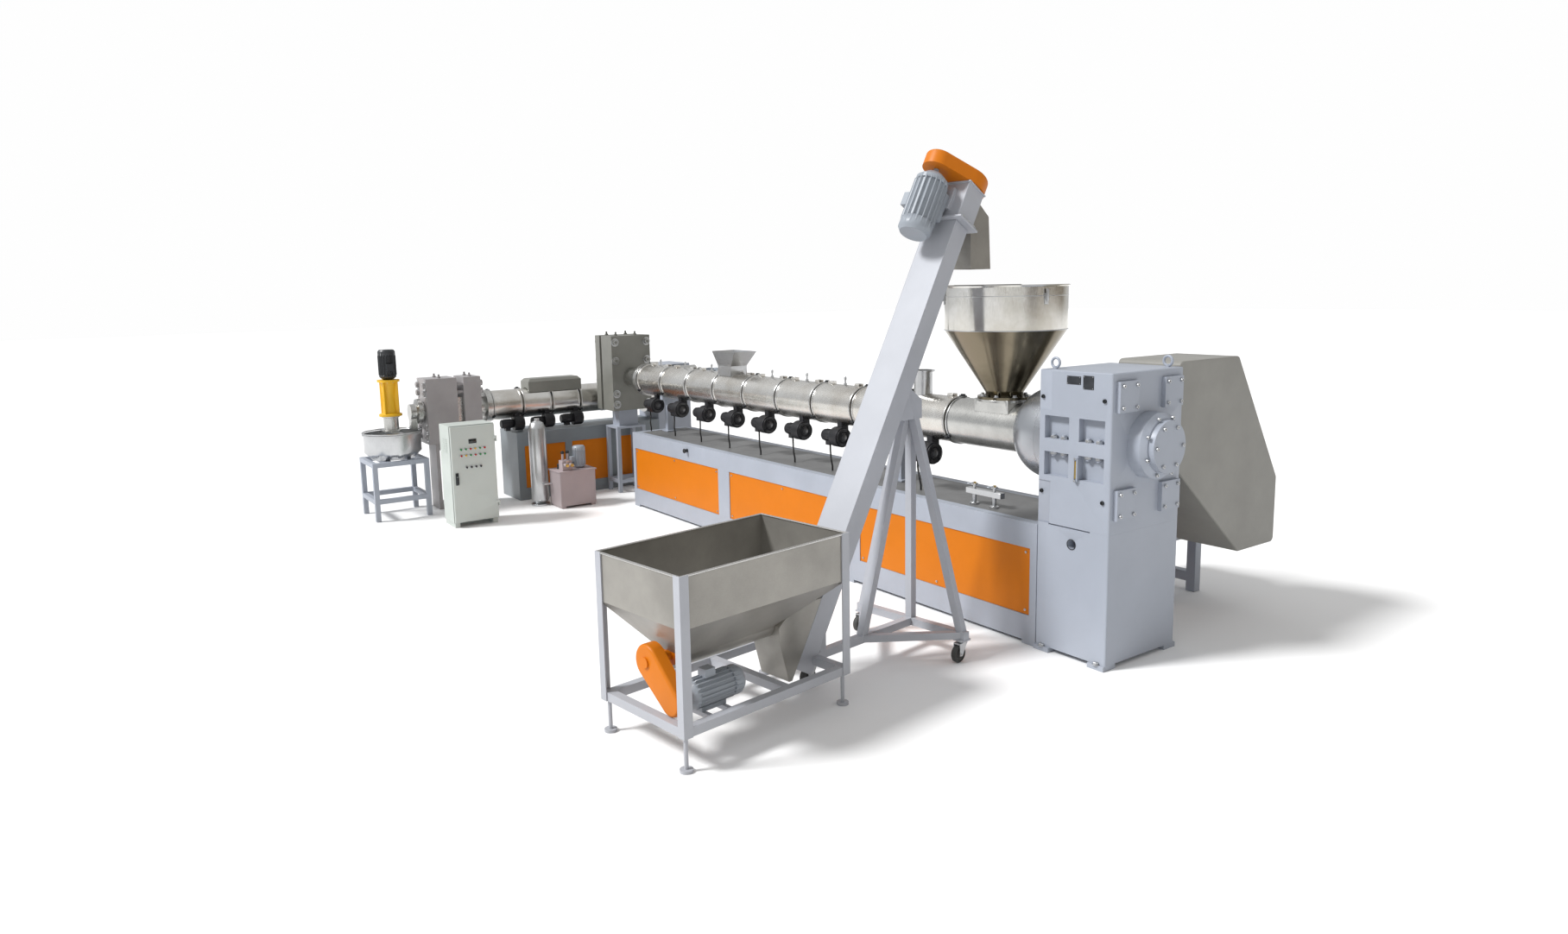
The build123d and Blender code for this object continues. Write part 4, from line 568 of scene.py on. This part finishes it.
class LineLooks(bpy.types.PropertyGroup):
    """Colours and small sizes that a user would change."""

    frame_colour: FloatVectorProperty(name="Frame colour", description="Paint of beds, stands and frames",
                                      subtype="COLOR", size=3, default=(0.345, 0.375, 0.435))
    case_colour: FloatVectorProperty(name="Gear case colour", description="Paint of the case and pedestal",
                                     subtype="COLOR", size=3, default=(0.345, 0.375, 0.435))
    panel_colour: FloatVectorProperty(name="Panel colour", description="Orange of the panels and guards",
                                      subtype="COLOR", size=3, default=(0.60, 0.165, 0.002))
    edge: FloatProperty(name="Edge softness", description="Width of the soft edges on sheet and plate",
                        subtype="DISTANCE", default=0.002)
    sides: IntProperty(name="Hopper sides", description="Faces round the feed hopper", default=96, min=12)


class StageLooks(bpy.types.PropertyGroup):
    """Light and floor."""

    key_strength: FloatProperty(name="Key light", description="Strength of the sun in the stage", default=3.2)
    fill_strength: FloatProperty(name="Fill light", description="Strength of the sky in the stage",
                                 default=0.62)
    floor_colour: FloatVectorProperty(name="Floor colour", description="Colour of the studio floor",
                                      subtype="COLOR", size=3, default=(0.92, 0.92, 0.92))
    lens: FloatProperty(name="Lens", description="Focal length of the camera", subtype="DISTANCE_CAMERA",
                        default=22.797)


class RECYCLE_OT_stage(bpy.types.Operator):
    """Floor, light and the camera at the photograph's viewing angle"""

    bl_idname = "recycle.stage"
    bl_label = "Stage"

    def execute(self, context):
        looks = context.scene.recycle_stage
        objects = context.scene.collection.objects
        reach = 60.0
        corners = [(-reach, -reach, 0), (reach, -reach, 0), (reach, reach, 0), (-reach, reach, 0)]
        mesh = bpy.data.meshes.new("studio_floor")
        mesh.from_pydata(corners, [], [(0, 1, 2, 3)])
        material, _, shader = new_material("studio_floor")
        shader.inputs["Base Color"].default_value = (*looks.floor_colour, 1)
        shader.inputs["Roughness"].default_value = 0.9
        mesh.materials.append(material)
        floor = bpy.data.objects.new("studio_floor", mesh)
        floor.location = (-2.5, 0, -0.0005)
        objects.link(floor)

        context.scene.world = studio_world(looks.fill_strength)
        sun = bpy.data.lights.new("key_sun", "SUN")
        sun.energy = looks.key_strength
        sun.angle = math.radians(12)
        lamp = bpy.data.objects.new("key_sun", sun)
        heading = Vector((0.30, 0.75, -0.85))
        lamp.rotation_euler = heading.to_track_quat("-Z", "Y").to_euler()
        objects.link(lamp)

        camera = bpy.data.cameras.new("view_camera")
        camera.lens = looks.lens
        camera.sensor_width = 36.0
        camera.sensor_fit = "HORIZONTAL"
        camera.shift_x, camera.shift_y = camera_shift
        camera.clip_end = 200
        view = bpy.data.objects.new("view_camera", camera)
        turn = Matrix((camera_right, camera_up, -Vector(camera_ahead))).transposed().to_4x4()
        view.matrix_world = Matrix.Translation(camera_place) @ turn
        objects.link(view)
        context.scene.camera = view
        context.scene.view_settings.view_transform = "Standard"
        return {"FINISHED"}


class RECYCLE_OT_plain(bpy.types.Operator):
    """Every frame, sheet and casting that keeps its own shape, with soft edges and its finish"""

    bl_idname = "recycle.plain"
    bl_label = "Frames, sheets and castings"

    def execute(self, context):
        looks = context.scene.recycle_looks
        make_finishes(looks)
        edge = looks.edge
        plain = {
            "bed_frame": ("frame", "frame_paint", 0.004),
            # The deck's paint carries painted shade for the barrel's shadow.
            "bed_deck": ("deck", "deck_paint", edge),
            "bed_panels": ("orange", "panel_paint", 0.0015),
            "gear_case": ("case", "machine_paint", 0.004),
            "gear_pedestal": ("case", "machine_paint", 0.004),
            "thrust_housing": ("silver", "cover_steel", 0.006),
            "barrel": ("barrel", "barrel_steel", 0.003),
            "heater_covers": ("cover", "cover_steel", 0.0015),
            "barrel_cradles": ("frame", "frame_paint", edge),
            "barrel_vents": ("steel", "bright_steel", 0),
            "feed_throat": ("barrel", "barrel_steel", 0.003),
            "hopper_lid": ("tray", "tray_steel", 0.001),
            "drive_belt_guard": ("guard", "guard_grey", 0.006),
            "drive_motor": ("motor", "motor_grey", 0),
            "drive_motor_base": ("frame", "frame_paint", 0.003),
            "screen_changer": ("changer", "changer_steel", 0.003),
            "screen_slide": ("barrel", "barrel_steel", edge),
            "changer_stand": ("frame", "frame_paint", 0.003),
            "melt_elbow": ("barrel", "barrel_steel", edge),
            "second_barrel": ("barrel", "barrel_steel", 0.003),
            "second_covers": ("cover", "cover_steel", 0.0015),
            "second_vent_box": ("changer", "changer_steel", 0.003),
            # The second bed takes the frame paint darkened as painted shade.
            "second_bed": ("shaded_frame", "frame_paint", 0.004),
            "second_panels": ("orange", "panel_paint", 0.0015),
            "second_gear_case": ("case", "machine_paint", 0.004),
            "second_motor": ("motor", "motor_grey", 0),
            "second_screen_changer": ("pale_changer", "changer_steel", 0.003),
            "second_slide": ("barrel", "barrel_steel", edge),
            "trough_tray": ("tray", "tray_steel", 0),
            "trough_frame": ("loader", "frame_paint", edge),
            "trough_belt_guard": ("guard_orange", "guard_orange", 0.003),
            "trough_motor": ("motor", "motor_grey", 0),
            "loader_tube": ("loader", "frame_paint", 0.003),
            "loader_boot": ("tray", "tray_steel", edge),
            "loader_head": ("loader", "frame_paint", edge),
            "loader_belt_guard": ("guard_orange", "guard_orange", 0.003),
            "loader_motor": ("motor", "motor_grey", 0),
            "loader_spout": ("tray", "tray_steel", 0.001),
            "loader_stand": ("loader", "frame_paint", edge),
            "cabinet_body": ("cabinet", "cabinet_paint", 0.001),
            "hydraulic_tank": ("oil_tank", "oil_tank_paint", edge),
            "hydraulic_motor": ("motor", "motor_grey", 0),
            "accumulator": ("steel", "bright_steel", edge),
            "water_tank": ("steel", "bright_steel", 0),
            "water_stand": ("frame", "frame_paint", edge),
            "cutter_stool": ("yellow", "stool_yellow", edge),
            "cutter_motor": ("dark_motor", "motor_dark", 0),
            "die_head": ("barrel", "barrel_steel", edge),
            "cooling_manifold": ("steel", "bright_steel", 0.001),
            "blower_housings": ("black", "blower_black", 0.001),
            "blower_motors": ("black", "blower_black", 0),
            "blower_conduits": ("rubber", "conduit_black", 0),
        }
        for node, (look, slot, bevel) in plain.items():
            dress(node, look, bevel)
        dress("cabinet_door", "cabinet", 0.001, "cabinet_door")
        for number in (1, 2, 3):
            dress(f"caster_fork_{number}", "zinc", 0.0008, f"caster_fork_{number}")
            dress(f"caster_wheel_{number}", "tyre", 0, f"caster_wheel_{number}")
        return {"FINISHED"}


class RECYCLE_OT_hopper(bpy.types.Operator):
    """The feed hopper: a polished drum, a cone darkened as painted reflection, and its beads, lid clamps and
    flange bolts
    """

    bl_idname = "recycle.hopper"
    bl_label = "Feed hopper"

    def execute(self, context):
        sides = context.scene.recycle_looks.sides
        low, high = box_of("feed_hopper")
        x = (low[0] + high[0]) / 2
        rim = high[2]
        place = place_at((x, 0, 0))
        wall, neck, flange = 0.003, 0.105, 0.150
        neck_top, flange_top = low[2] + 0.034, low[2] + 0.014
        outer, seam = hopper_radius, hopper_seam
        drum = [(outer, seam), (outer, rim - 0.012), (outer + 0.007, rim - 0.009),
                (outer + 0.009, rim - 0.005), (outer + 0.007, rim - 0.001), (outer, rim),
                (outer - wall, rim - 0.002), (outer - wall, seam), (outer, seam)]
        cone = [(neck, neck_top), (outer, seam), (outer - wall, seam), (neck - wall, neck_top),
                (neck - wall, low[2]), (flange, low[2]), (flange, flange_top), (neck, flange_top),
                (neck, neck_top)]
        new_piece("hopper_drum", [turned(drum, place, sides)], "hopper",
                  replaced=("feed_hopper",))
        # The cone takes the darker finish, a painted dark reflection.
        new_piece("hopper_cone", [turned(cone, place, sides)], "cone")
        beads = [hoop(place_at((x, 0, seam)), outer + 0.0005, 0.0028, sides),
                 hoop(place_at((x, 0, rim - 0.060)), outer + 0.0003, 0.0018, sides)]
        new_piece("hopper_beads", beads, "steel")
        clamps = []
        for degrees in (-10, 110, 230):
            a = math.radians(degrees)
            out = np.array((math.cos(a), math.sin(a), 0))
            spot = place_at(np.array((x, 0, rim - 0.075)) + out * outer, out, (0, 0, 1))
            clamps += [rounded_box((-0.030, -0.012, 0), (0.030, 0.012, 0.006), 0.002, spot),
                       rounded_box((-0.010, -0.008, 0.006), (0.052, 0.008, 0.016), 0.003, spot)]
        new_piece("hopper_clamps", clamps, "zinc")
        bolts = ring_places((x, 0, flange_top), (0, 0, 1), 0.130, 8, 22.5)
        new_piece("hopper_bolts", washered(bolts, 0.019, 0.012), "zinc")
        return {"FINISHED"}


class RECYCLE_OT_covers(bpy.types.Operator):
    """Clamp bands and toggle latches on the covers of both barrels, and probes on the first barrel's covers
    """

    bl_idname = "recycle.covers"
    bl_label = "Cover fittings"

    def execute(self, context):
        first, pitch = cover_row()
        axis = box_of("heater_covers")[0][2] + cover_outer
        radius = cover_outer - cover_lip
        seams = [((first - i * pitch, 0, axis), (1, 0, 0)) for i in range(cover_count + 1)]
        low, high = box_of("second_covers")
        heart = (low + high) / 2
        start = low[1] - cover_gap / 2
        step = (high[1] - low[1] + cover_gap) / second_count
        seams += [((heart[0], start + i * step, heart[2]), (0, 1, 0)) for i in range(second_count + 1)]
        bands = []
        toggles = []
        for centre, along in np.array(seams, float):
            for side in (-1, 1):
                edge = place_at(centre + along * side * (cover_gap / 2 + 0.007), along)
                bands.append(hoop(edge, radius + 0.0035, 0.0025, 64))
            out = np.array((0, -1, 0) if along[0] else (1, 0, 0))
            for angle in (-38, 96):
                a = math.radians(angle)
                normal = math.cos(a) * out + math.sin(a) * np.array((0.0, 0, 1))
                place = place_at(centre + normal * (radius + 0.003), normal, along)
                toggles += [rounded_box((-0.024, -0.009, 0), (0.024, 0.009, 0.008), 0.002, place),
                            rounded_box((-0.011, -0.012, 0.008), (0.011, 0.012, 0.016), 0.003, place)]
        probes = []
        stem = [(0, 0.012), (0.006, 0.012), (0.006, 0.034), (0.009, 0.036), (0.009, 0.052), (0.004, 0.058),
                (0, 0.058)]
        vent_reach = 0.16
        for i in range(cover_count):
            middle = first - (i + 0.5) * pitch
            if min(abs(middle - vent) for vent in vent_places) > vent_reach:
                spot = place_at((middle, 0, axis + radius))
                probes += [hexagon(spot, 0.022, 0.012), turned(stem, spot, 16)]
        new_piece("cover_bands", bands, "steel")
        new_piece("cover_toggles", toggles, "dark")
        new_piece("cover_probes", probes, "zinc")
        return {"FINISHED"}


class RECYCLE_OT_fans(bpy.types.Operator):
    """Inlet guards and hub plates of the cooling fans"""

    bl_idname = "recycle.fans"
    bl_label = "Fan fittings"

    def execute(self, context):
        first, pitch = cover_row()
        half, offset, side, height = 0.050, 0.042, -0.090, 0.897
        spots = [((first - (i + 0.5) * pitch + offset + half, side, height), (1, 0, 0))
                 for i in range(cover_count)]
        low, high = box_of("second_covers")
        spots += [(((low[0] + high[0]) / 2 + 0.140, y + half, 0.719), (0, 1, 0))
                  for y in (-0.985, -0.690, -0.400)]
        inlet = 0.060
        rings = []
        hubs = []
        for centre, along in spots:
            place = place_at(centre, along)
            rings += [hoop(place, size, 0.0016, 32) for size in (0.016, 0.025, 0.034, 0.043, 0.052, inlet)]
            for spoke in range(4):
                a = math.radians(45 + 90 * spoke)
                reach = [(r * math.cos(a), r * math.sin(a), 0.001) for r in (0.012, inlet + 0.001)]
                rings.append(pipe(put(np.array(reach), place), 0.0018))
            plate = [(0, -0.006), (inlet, -0.006), (inlet, -0.003), (0.030, -0.003), (0.016, 0.004),
                     (0, 0.006)]
            hubs.append(turned(plate, place, 32))
        new_piece("fan_guards", rings, "black")
        new_piece("fan_hubs", hubs, "fan_plate")
        return {"FINISHED"}


class RECYCLE_OT_gear(bpy.types.Operator):
    """Screws, plates, pocket nuts, gauge glass and bearing cap bolts of the gear case"""

    bl_idname = "recycle.gear"
    bl_label = "Gear case fittings"

    def execute(self, context):
        face = -case_half
        front, back, right = (0, -1, 0), (0, 1, 0), (1, 0, 0)
        right_screws = ((0.177, 1.337), (0.178, 0.842))
        left_screws = ((-0.196, 1.333), (-0.196, 0.847))
        back_screws = (*right_screws, (-0.177, 1.337), (-0.177, 0.842))
        places = [place_at((x, face, z), front) for x, z in right_screws]
        places += [place_at((x, face + 0.005, z), front) for x, z in left_screws]
        places += [place_at((x, case_half, z), back) for x, z in back_screws]
        new_piece("case_screws", screws(places, 0.021, 0.009), "dark")

        nuts = [hexagon(place_at((x, side * 0.267, split_line + up * 0.034), (0, 0, up)), 0.030, 0.015)
                for side in (-1, 1) for x in (-0.135, -0.072, 0.075, 0.138) for up in (1, -1)]
        new_piece("split_nuts", nuts, "zinc")

        ring = ring_places((0.313, 0, bearing_axis), right, 0.148, 8, 22.5)
        ring += ring_places((0.343, 0, bearing_axis), right, 0.105, 6)
        corners = (0.022, 0.128)
        ring += [place_at((0.240, side * (0.255 - dy), pad + dz), right)
                 for pad in (1.281, 0.755) for side in (-1, 1) for dy in corners for dz in corners]
        new_piece("cap_screws", screws(ring, 0.019, 0.010), "zinc")

        spans = ((-0.048, 0.035, 1.406, 1.447), (0.049, 0.111, 1.386, 1.453))
        plates = [rounded_box((x0, face - 0.0022, z0), (x1, face + 0.001, z1), 0.001)
                  for x0, x1, z0, z1 in spans]
        new_piece("case_plates", plates, "plate")
        inset = 0.005
        rivets = [place_at((x, face - 0.002, z), front) for x0, x1, z0, z1 in spans
                  for x in (x0 + inset, x1 - inset) for z in (z0 + inset, z1 - inset)]
        new_piece("plate_rivets", screws(rivets, 0.005, 0.0016), "zinc")

        gauge_x, gauge_z, half, bore = 0.022, 0.985, 0.044, 0.0055
        glass = turned([(0, -half), (bore, -half), (bore, half), (0, half)],
                       place_at((gauge_x, face - 0.009, gauge_z)), 20)
        new_piece("gauge_tube", [glass], "oil_glass")
        plugs = [place_at((gauge_x, face - 0.014, gauge_z + side * 0.054), front) for side in (-1, 1)]
        new_piece("gauge_screws", screws(plugs, 0.014, 0.006), "zinc")

        port = hoop(place_at((0, face - 0.001, 0.600), front), 0.0255, 0.0022, 40)
        new_piece("port_rim", [port], "dark")
        return {"FINISHED"}


class RECYCLE_OT_changers(bpy.types.Operator):
    """Hexagon nuts on the tie rods of the two screen changers"""

    bl_idname = "recycle.changers"
    bl_label = "Screen changer nuts"

    def execute(self, context):
        first_faces = ((-5.318, 1), (-5.668, -1))
        places = [place_at((x, y, z), (way, 0, 0)) for z in (0.855, 0.955, 1.265, 1.437)
                  for y in (-0.164, 0.164) for x, way in first_faces]
        second_faces = ((-1.310, 1), (-1.795, -1))
        places += [place_at((x, y, z), (0, way, 0)) for z in (0.655, 0.735, 1.045, 1.115)
                   for x in (-5.972, -5.764) for y, way in second_faces]
        new_piece("changer_nuts", washered(places, 0.046, 0.0225), "zinc")
        return {"FINISHED"}


class RECYCLE_OT_cabinet(bpy.types.Operator):
    """Display, lamps, switches and grip on the cabinet door, and the louvres of its body"""

    bl_idname = "recycle.cabinet"
    bl_label = "Cabinet front"

    def execute(self, context):
        def on_door(y, z, start, stop, radius):
            """A rounded box on the door from start to stop out of its face."""
            return rounded_box((door_face + start, y[0], z[0]), (door_face + stop, y[1], z[1]), radius)

        bezel = on_door((-1.712, -1.648), (0.694, 0.730), -0.001, 0.005, 0.002)
        new_piece("display_bezel", [bezel], "dark", "cabinet_door")
        screen = on_door((-1.705, -1.655), (0.701, 0.723), 0.004, 0.0058, 0.0008)
        new_piece("display_screen", [screen], "screen", body="cabinet_door")
        grip = [on_door((-1.8356, -1.8104), (0.3594, 0.4606), 0, 0.0066, 0.002),
                on_door((-1.8316, -1.8144), (0.3694, 0.4306), 0.0055, 0.0246, 0.003)]
        new_piece("door_grip", grip, "dark", "cabinet_door")

        collar = [(0, 0), (0.0125, 0), (0.0125, 0.003), (0.010, 0.005), (0, 0.005)]
        cap = [(0, 0.005), (0.0085, 0.005), (0.0085, 0.011), (0.006, 0.014), (0, 0.0145)]
        order = ("lamp_green", "lamp_green", "lamp_red", "lamp_yellow", "lamp_green", "lamp_red")
        lamp_start, lamp_pitch = -1.779, 0.039
        switch_row = 2
        collars = []
        heads = {"lamp_red": [], "lamp_green": [], "lamp_yellow": [], "switch_black": []}
        for row, z in enumerate((0.650, 0.598, 0.500)):
            for column in range(6):
                y = lamp_start + lamp_pitch * column
                if row == switch_row and column in (0, 5):
                    continue
                place = place_at((door_face, y, z), (1, 0, 0))
                collars.append(turned(collar, place, 24))
                kind = "switch_black" if row == switch_row else order[(column + 2 * row) % 6]
                heads[kind].append(turned(cap, place, 20))
                if row == switch_row:
                    bar = on_door((y - 0.0025, y + 0.0025), (z - 0.009, z + 0.009), 0.014, 0.022, 0.001)
                    heads[kind].append(bar)
        new_piece("switch_collars", collars, "zinc", "cabinet_door")
        for kind, surfaces in heads.items():
            new_piece(kind, surfaces, kind, body="cabinet_door")

        low = box_of("cabinet_body")[0]
        start, stop = low[0] + 0.07, low[0] + 0.19
        louvres = [rounded_box((start, low[1] - 0.005, z), (stop, low[1] + 0.001, z + 0.007), 0.002)
                   for z in 0.62 + 0.016 * np.arange(8)]
        new_piece("cabinet_louvres", louvres, "cabinet")
        return {"FINISHED"}


class RECYCLE_OT_tray(bpy.types.Operator):
    """Folded rim, welded corners and middle rail of the feed tray"""

    bl_idname = "recycle.tray"
    bl_label = "Feed tray rim"

    def execute(self, context):
        half = tray_width / 2
        top = box_of("trough_tray")[1][2] - 0.004
        corners = [(-half, 0), (half, 0), (half, tray_length), (-half, tray_length)]
        points = 60
        heights = np.linspace(top - 0.004, top - 0.214, points)
        rim = []
        welds = []
        for (x, y), (nx, ny) in zip(corners, corners[1:] + corners[:1]):
            rim.append(pipe([in_loader(x, y, top), in_loader(nx, ny, top)], 0.0055, 10))
            inside = 0.0005 if y == 0 else -0.0005
            bead = np.array([in_loader(x * 0.9985, y + inside, z) for z in heights])
            bead[:, 0] += 0.0006 * np.sin(np.arange(points) * 1.9)
            welds.append(pipe(bead, 0.0022))
        new_piece("tray_rim", rim, "tray_rim")
        middle = 0.62 * tray_length
        edge = half - 0.004
        flat = np.array([in_loader(x, middle + y, 0) for x, y in ((-edge, -0.02), (edge, -0.02), (edge, 0.02),
                                                                  (-edge, 0.02))])
        rail = slab(flat[:, :2], rail_low, rail_high)
        new_piece("tray_middle_rail", [rail], "loader", sharp=20)
        new_piece("tray_welds", welds, "weld")
        return {"FINISHED"}


class RECYCLE_OT_bed(bpy.types.Operator):
    """Panel screws, the cable knob and the anchor bolts of the beds"""

    bl_idname = "recycle.bed"
    bl_label = "Bed fittings"

    def execute(self, context):
        low, high = box_of("bed_panels")
        side_face, margin, stile = 0.279, 0.03, 0.160
        places = [place_at((x, side * side_face, z), (0, side, 0))
                  for start, stop in panel_bays(low[0], high[0], 3, stile) for side in (-1, 1)
                  for x in (start + margin, (start + stop) / 2, stop - margin)
                  for z in (low[2] + 0.025, high[2] - 0.025)]
        new_piece("panel_screws", screws(places, 0.014, 0.005), "zinc")
        shape = [(0, 0), (0.016, 0), (0.016, 0.004), (0.007, 0.006), (0.007, 0.016), (0.017, 0.020),
                 (0.019, 0.030), (0.014, 0.036), (0, 0.037)]
        knob = turned(shape, place_at((-3.821, -case_half, 0.613), (0, -1, 0)), 28)
        new_piece("bed_knob", [knob], "dark")
        anchors = [place_at((x, y, 0.025)) for x in (-0.170, 0.170) for y in (-0.292, 0.292)]
        new_piece("anchor_bolts", washered(anchors, 0.024, 0.014), "zinc")
        return {"FINISHED"}


class RECYCLE_OT_loader(bpy.types.Operator):
    """Seam beads and flange bolts of the screw loader"""

    bl_idname = "recycle.loader"
    bl_label = "Loader fittings"

    def execute(self, context):
        angle = math.radians(tube_slope)
        run = np.array((0, math.cos(angle), math.sin(angle)))
        back = np.array((0, -math.sin(angle), math.cos(angle)))
        low_end = np.array((0, tray_length - tube_inset, tube_foot))

        def on_tube(x, depth, along):
            """A point beside, behind and along the tube's axis, in the line's frame."""
            return in_loader(*(low_end + np.array((x, 0, 0)) + back * depth + run * along))

        edges = (0.02, tube_length - 0.02)
        seams = [pipe([on_tube(x, depth, along) for along in edges], 0.0022)
                 for x in (-0.0935, 0.0935) for depth in (0.0535, -0.0535)]
        new_piece("tube_seams", seams, "loader")
        up = in_loader(*(low_end + run)) - in_loader(*low_end)
        heads = [place_at(on_tube(x, depth, tube_length + 0.012), up)
                 for x in (-0.125, 0.125) for depth in (-0.05, 0.0, 0.05)]
        new_piece("head_bolts", washered(heads, 0.020, 0.011), "zinc")
        return {"FINISHED"}


class RECYCLE_OT_unit(bpy.types.Operator):
    """Fittings on the hydraulic unit, and the valves of the water manifold"""

    bl_idname = "recycle.unit"
    bl_label = "Hydraulic fittings"

    def execute(self, context):
        x, y, lid = unit_corner
        nozzle = [(0, 0.014), (0.008, 0.014), (0.008, 0.030), (0.004, 0.034), (0, 0.034)]
        knob = [(0, 0), (0.014, 0), (0.017, 0.008), (0.015, 0.020), (0.006, 0.024), (0, 0.024)]
        filler = [(0, 0), (0.026, 0), (0.026, 0.010), (0.022, 0.012), (0.024, 0.040), (0.018, 0.046),
                  (0, 0.046)]
        brass = []
        knobs = []
        for valve in (y + 0.062, y + 0.107):
            side = place_at((x + 0.022, valve, lid + 0.055), (1, 0, 0))
            brass += [hexagon(side, 0.028, 0.014), turned(nozzle, side, 20)]
            knobs.append(turned(knob, place_at((x - 0.070, valve, lid + 0.150)), 24))
        knobs.append(turned(filler, place_at((x - 0.175, y + 0.075, lid)), 28))
        new_piece("unit_brass", brass, "brass")
        new_piece("unit_knobs", knobs, "dark")
        dial = [(0, 0), (0.016, 0), (0.016, 0.010), (0.0135, 0.010), (0.0135, 0.0075), (0, 0.0075)]
        gauge = turned(dial, place_at((x - 0.029, y + 0.085, lid + 0.078), (1, 0, 0)), 28)
        new_piece("unit_dial", [gauge], "zinc")

        low, high = box_of("cooling_manifold")
        y = (low[1] + high[1]) / 2
        top = high[2]
        hubs = []
        levers = []
        for x in (low[0] + 0.050, low[0] + 0.200):
            hubs.append(hexagon(place_at((x, y, top)), 0.018, 0.008))
            levers.append(rounded_box((x - 0.006, y - 0.055, top + 0.003),
                                      (x + 0.006, y + 0.010, top + 0.007), 0.0015))
        new_piece("valve_hubs", hubs, "brass")
        new_piece("valve_levers", levers, "lever")
        return {"FINISHED"}


class RECYCLE_OT_head(bpy.types.Operator):
    """Rolled rim of the water tank and the bolts of the cutting head's stool"""

    bl_idname = "recycle.head"
    bl_label = "Cutting head fittings"

    def execute(self, context):
        low, high = box_of("water_tank")
        x, y = (low[:2] + high[:2]) / 2
        inset = 0.004
        rim = hoop(place_at((x, y, high[2] - inset)), (high[0] - low[0]) / 2 - inset, 0.006, 72)
        new_piece("water_rim", [rim], "steel")
        low, high = box_of("cutter_stool")
        bolts = ring_places((x, y, low[2] + 0.016), (0, 0, 1), 0.060, 8, 22.5)
        bolts += ring_places((x, y, high[2] - 0.018), (0, 0, -1), 0.062, 8, 22.5)
        new_piece("stool_bolts", washered(bolts, 0.012, 0.008), "zinc")
        return {"FINISHED"}


operators = [RECYCLE_OT_stage, RECYCLE_OT_plain, RECYCLE_OT_hopper, RECYCLE_OT_covers, RECYCLE_OT_fans,
             RECYCLE_OT_gear, RECYCLE_OT_changers, RECYCLE_OT_cabinet, RECYCLE_OT_tray, RECYCLE_OT_bed,
             RECYCLE_OT_loader, RECYCLE_OT_unit, RECYCLE_OT_head]


class RECYCLE_PT_line(bpy.types.Panel):
    """Lists the line's settings and the steps that make it"""

    bl_label = "Recycling Line"
    bl_idname = "RECYCLE_PT_line"
    bl_space_type = "VIEW_3D"
    bl_region_type = "UI"
    bl_category = "Recycling Line"

    def draw(self, context):
        column = self.layout.column()
        for group in (context.scene.recycle_looks, context.scene.recycle_stage):
            for name in group.__annotations__:
                column.prop(group, name)
        for operator in operators:
            column.operator(operator.bl_idname)


classes = [LineLooks, StageLooks, *operators, RECYCLE_PT_line]


def register():
    """Makes the classes and settings known to Blender."""
    for kind in classes:
        bpy.utils.register_class(kind)
    bpy.types.Scene.recycle_looks = PointerProperty(type=LineLooks)
    bpy.types.Scene.recycle_stage = PointerProperty(type=StageLooks)


def unregister():
    """Takes the classes and settings away again."""
    del bpy.types.Scene.recycle_stage
    del bpy.types.Scene.recycle_looks
    for kind in reversed(classes):
        bpy.utils.unregister_class(kind)


def main():
    register()
    for operator in operators:
        group, name = operator.bl_idname.split(".")
        getattr(getattr(bpy.ops, group), name)()
    bpy.context.view_layer.update()


if __name__ == "__main__":
    main()
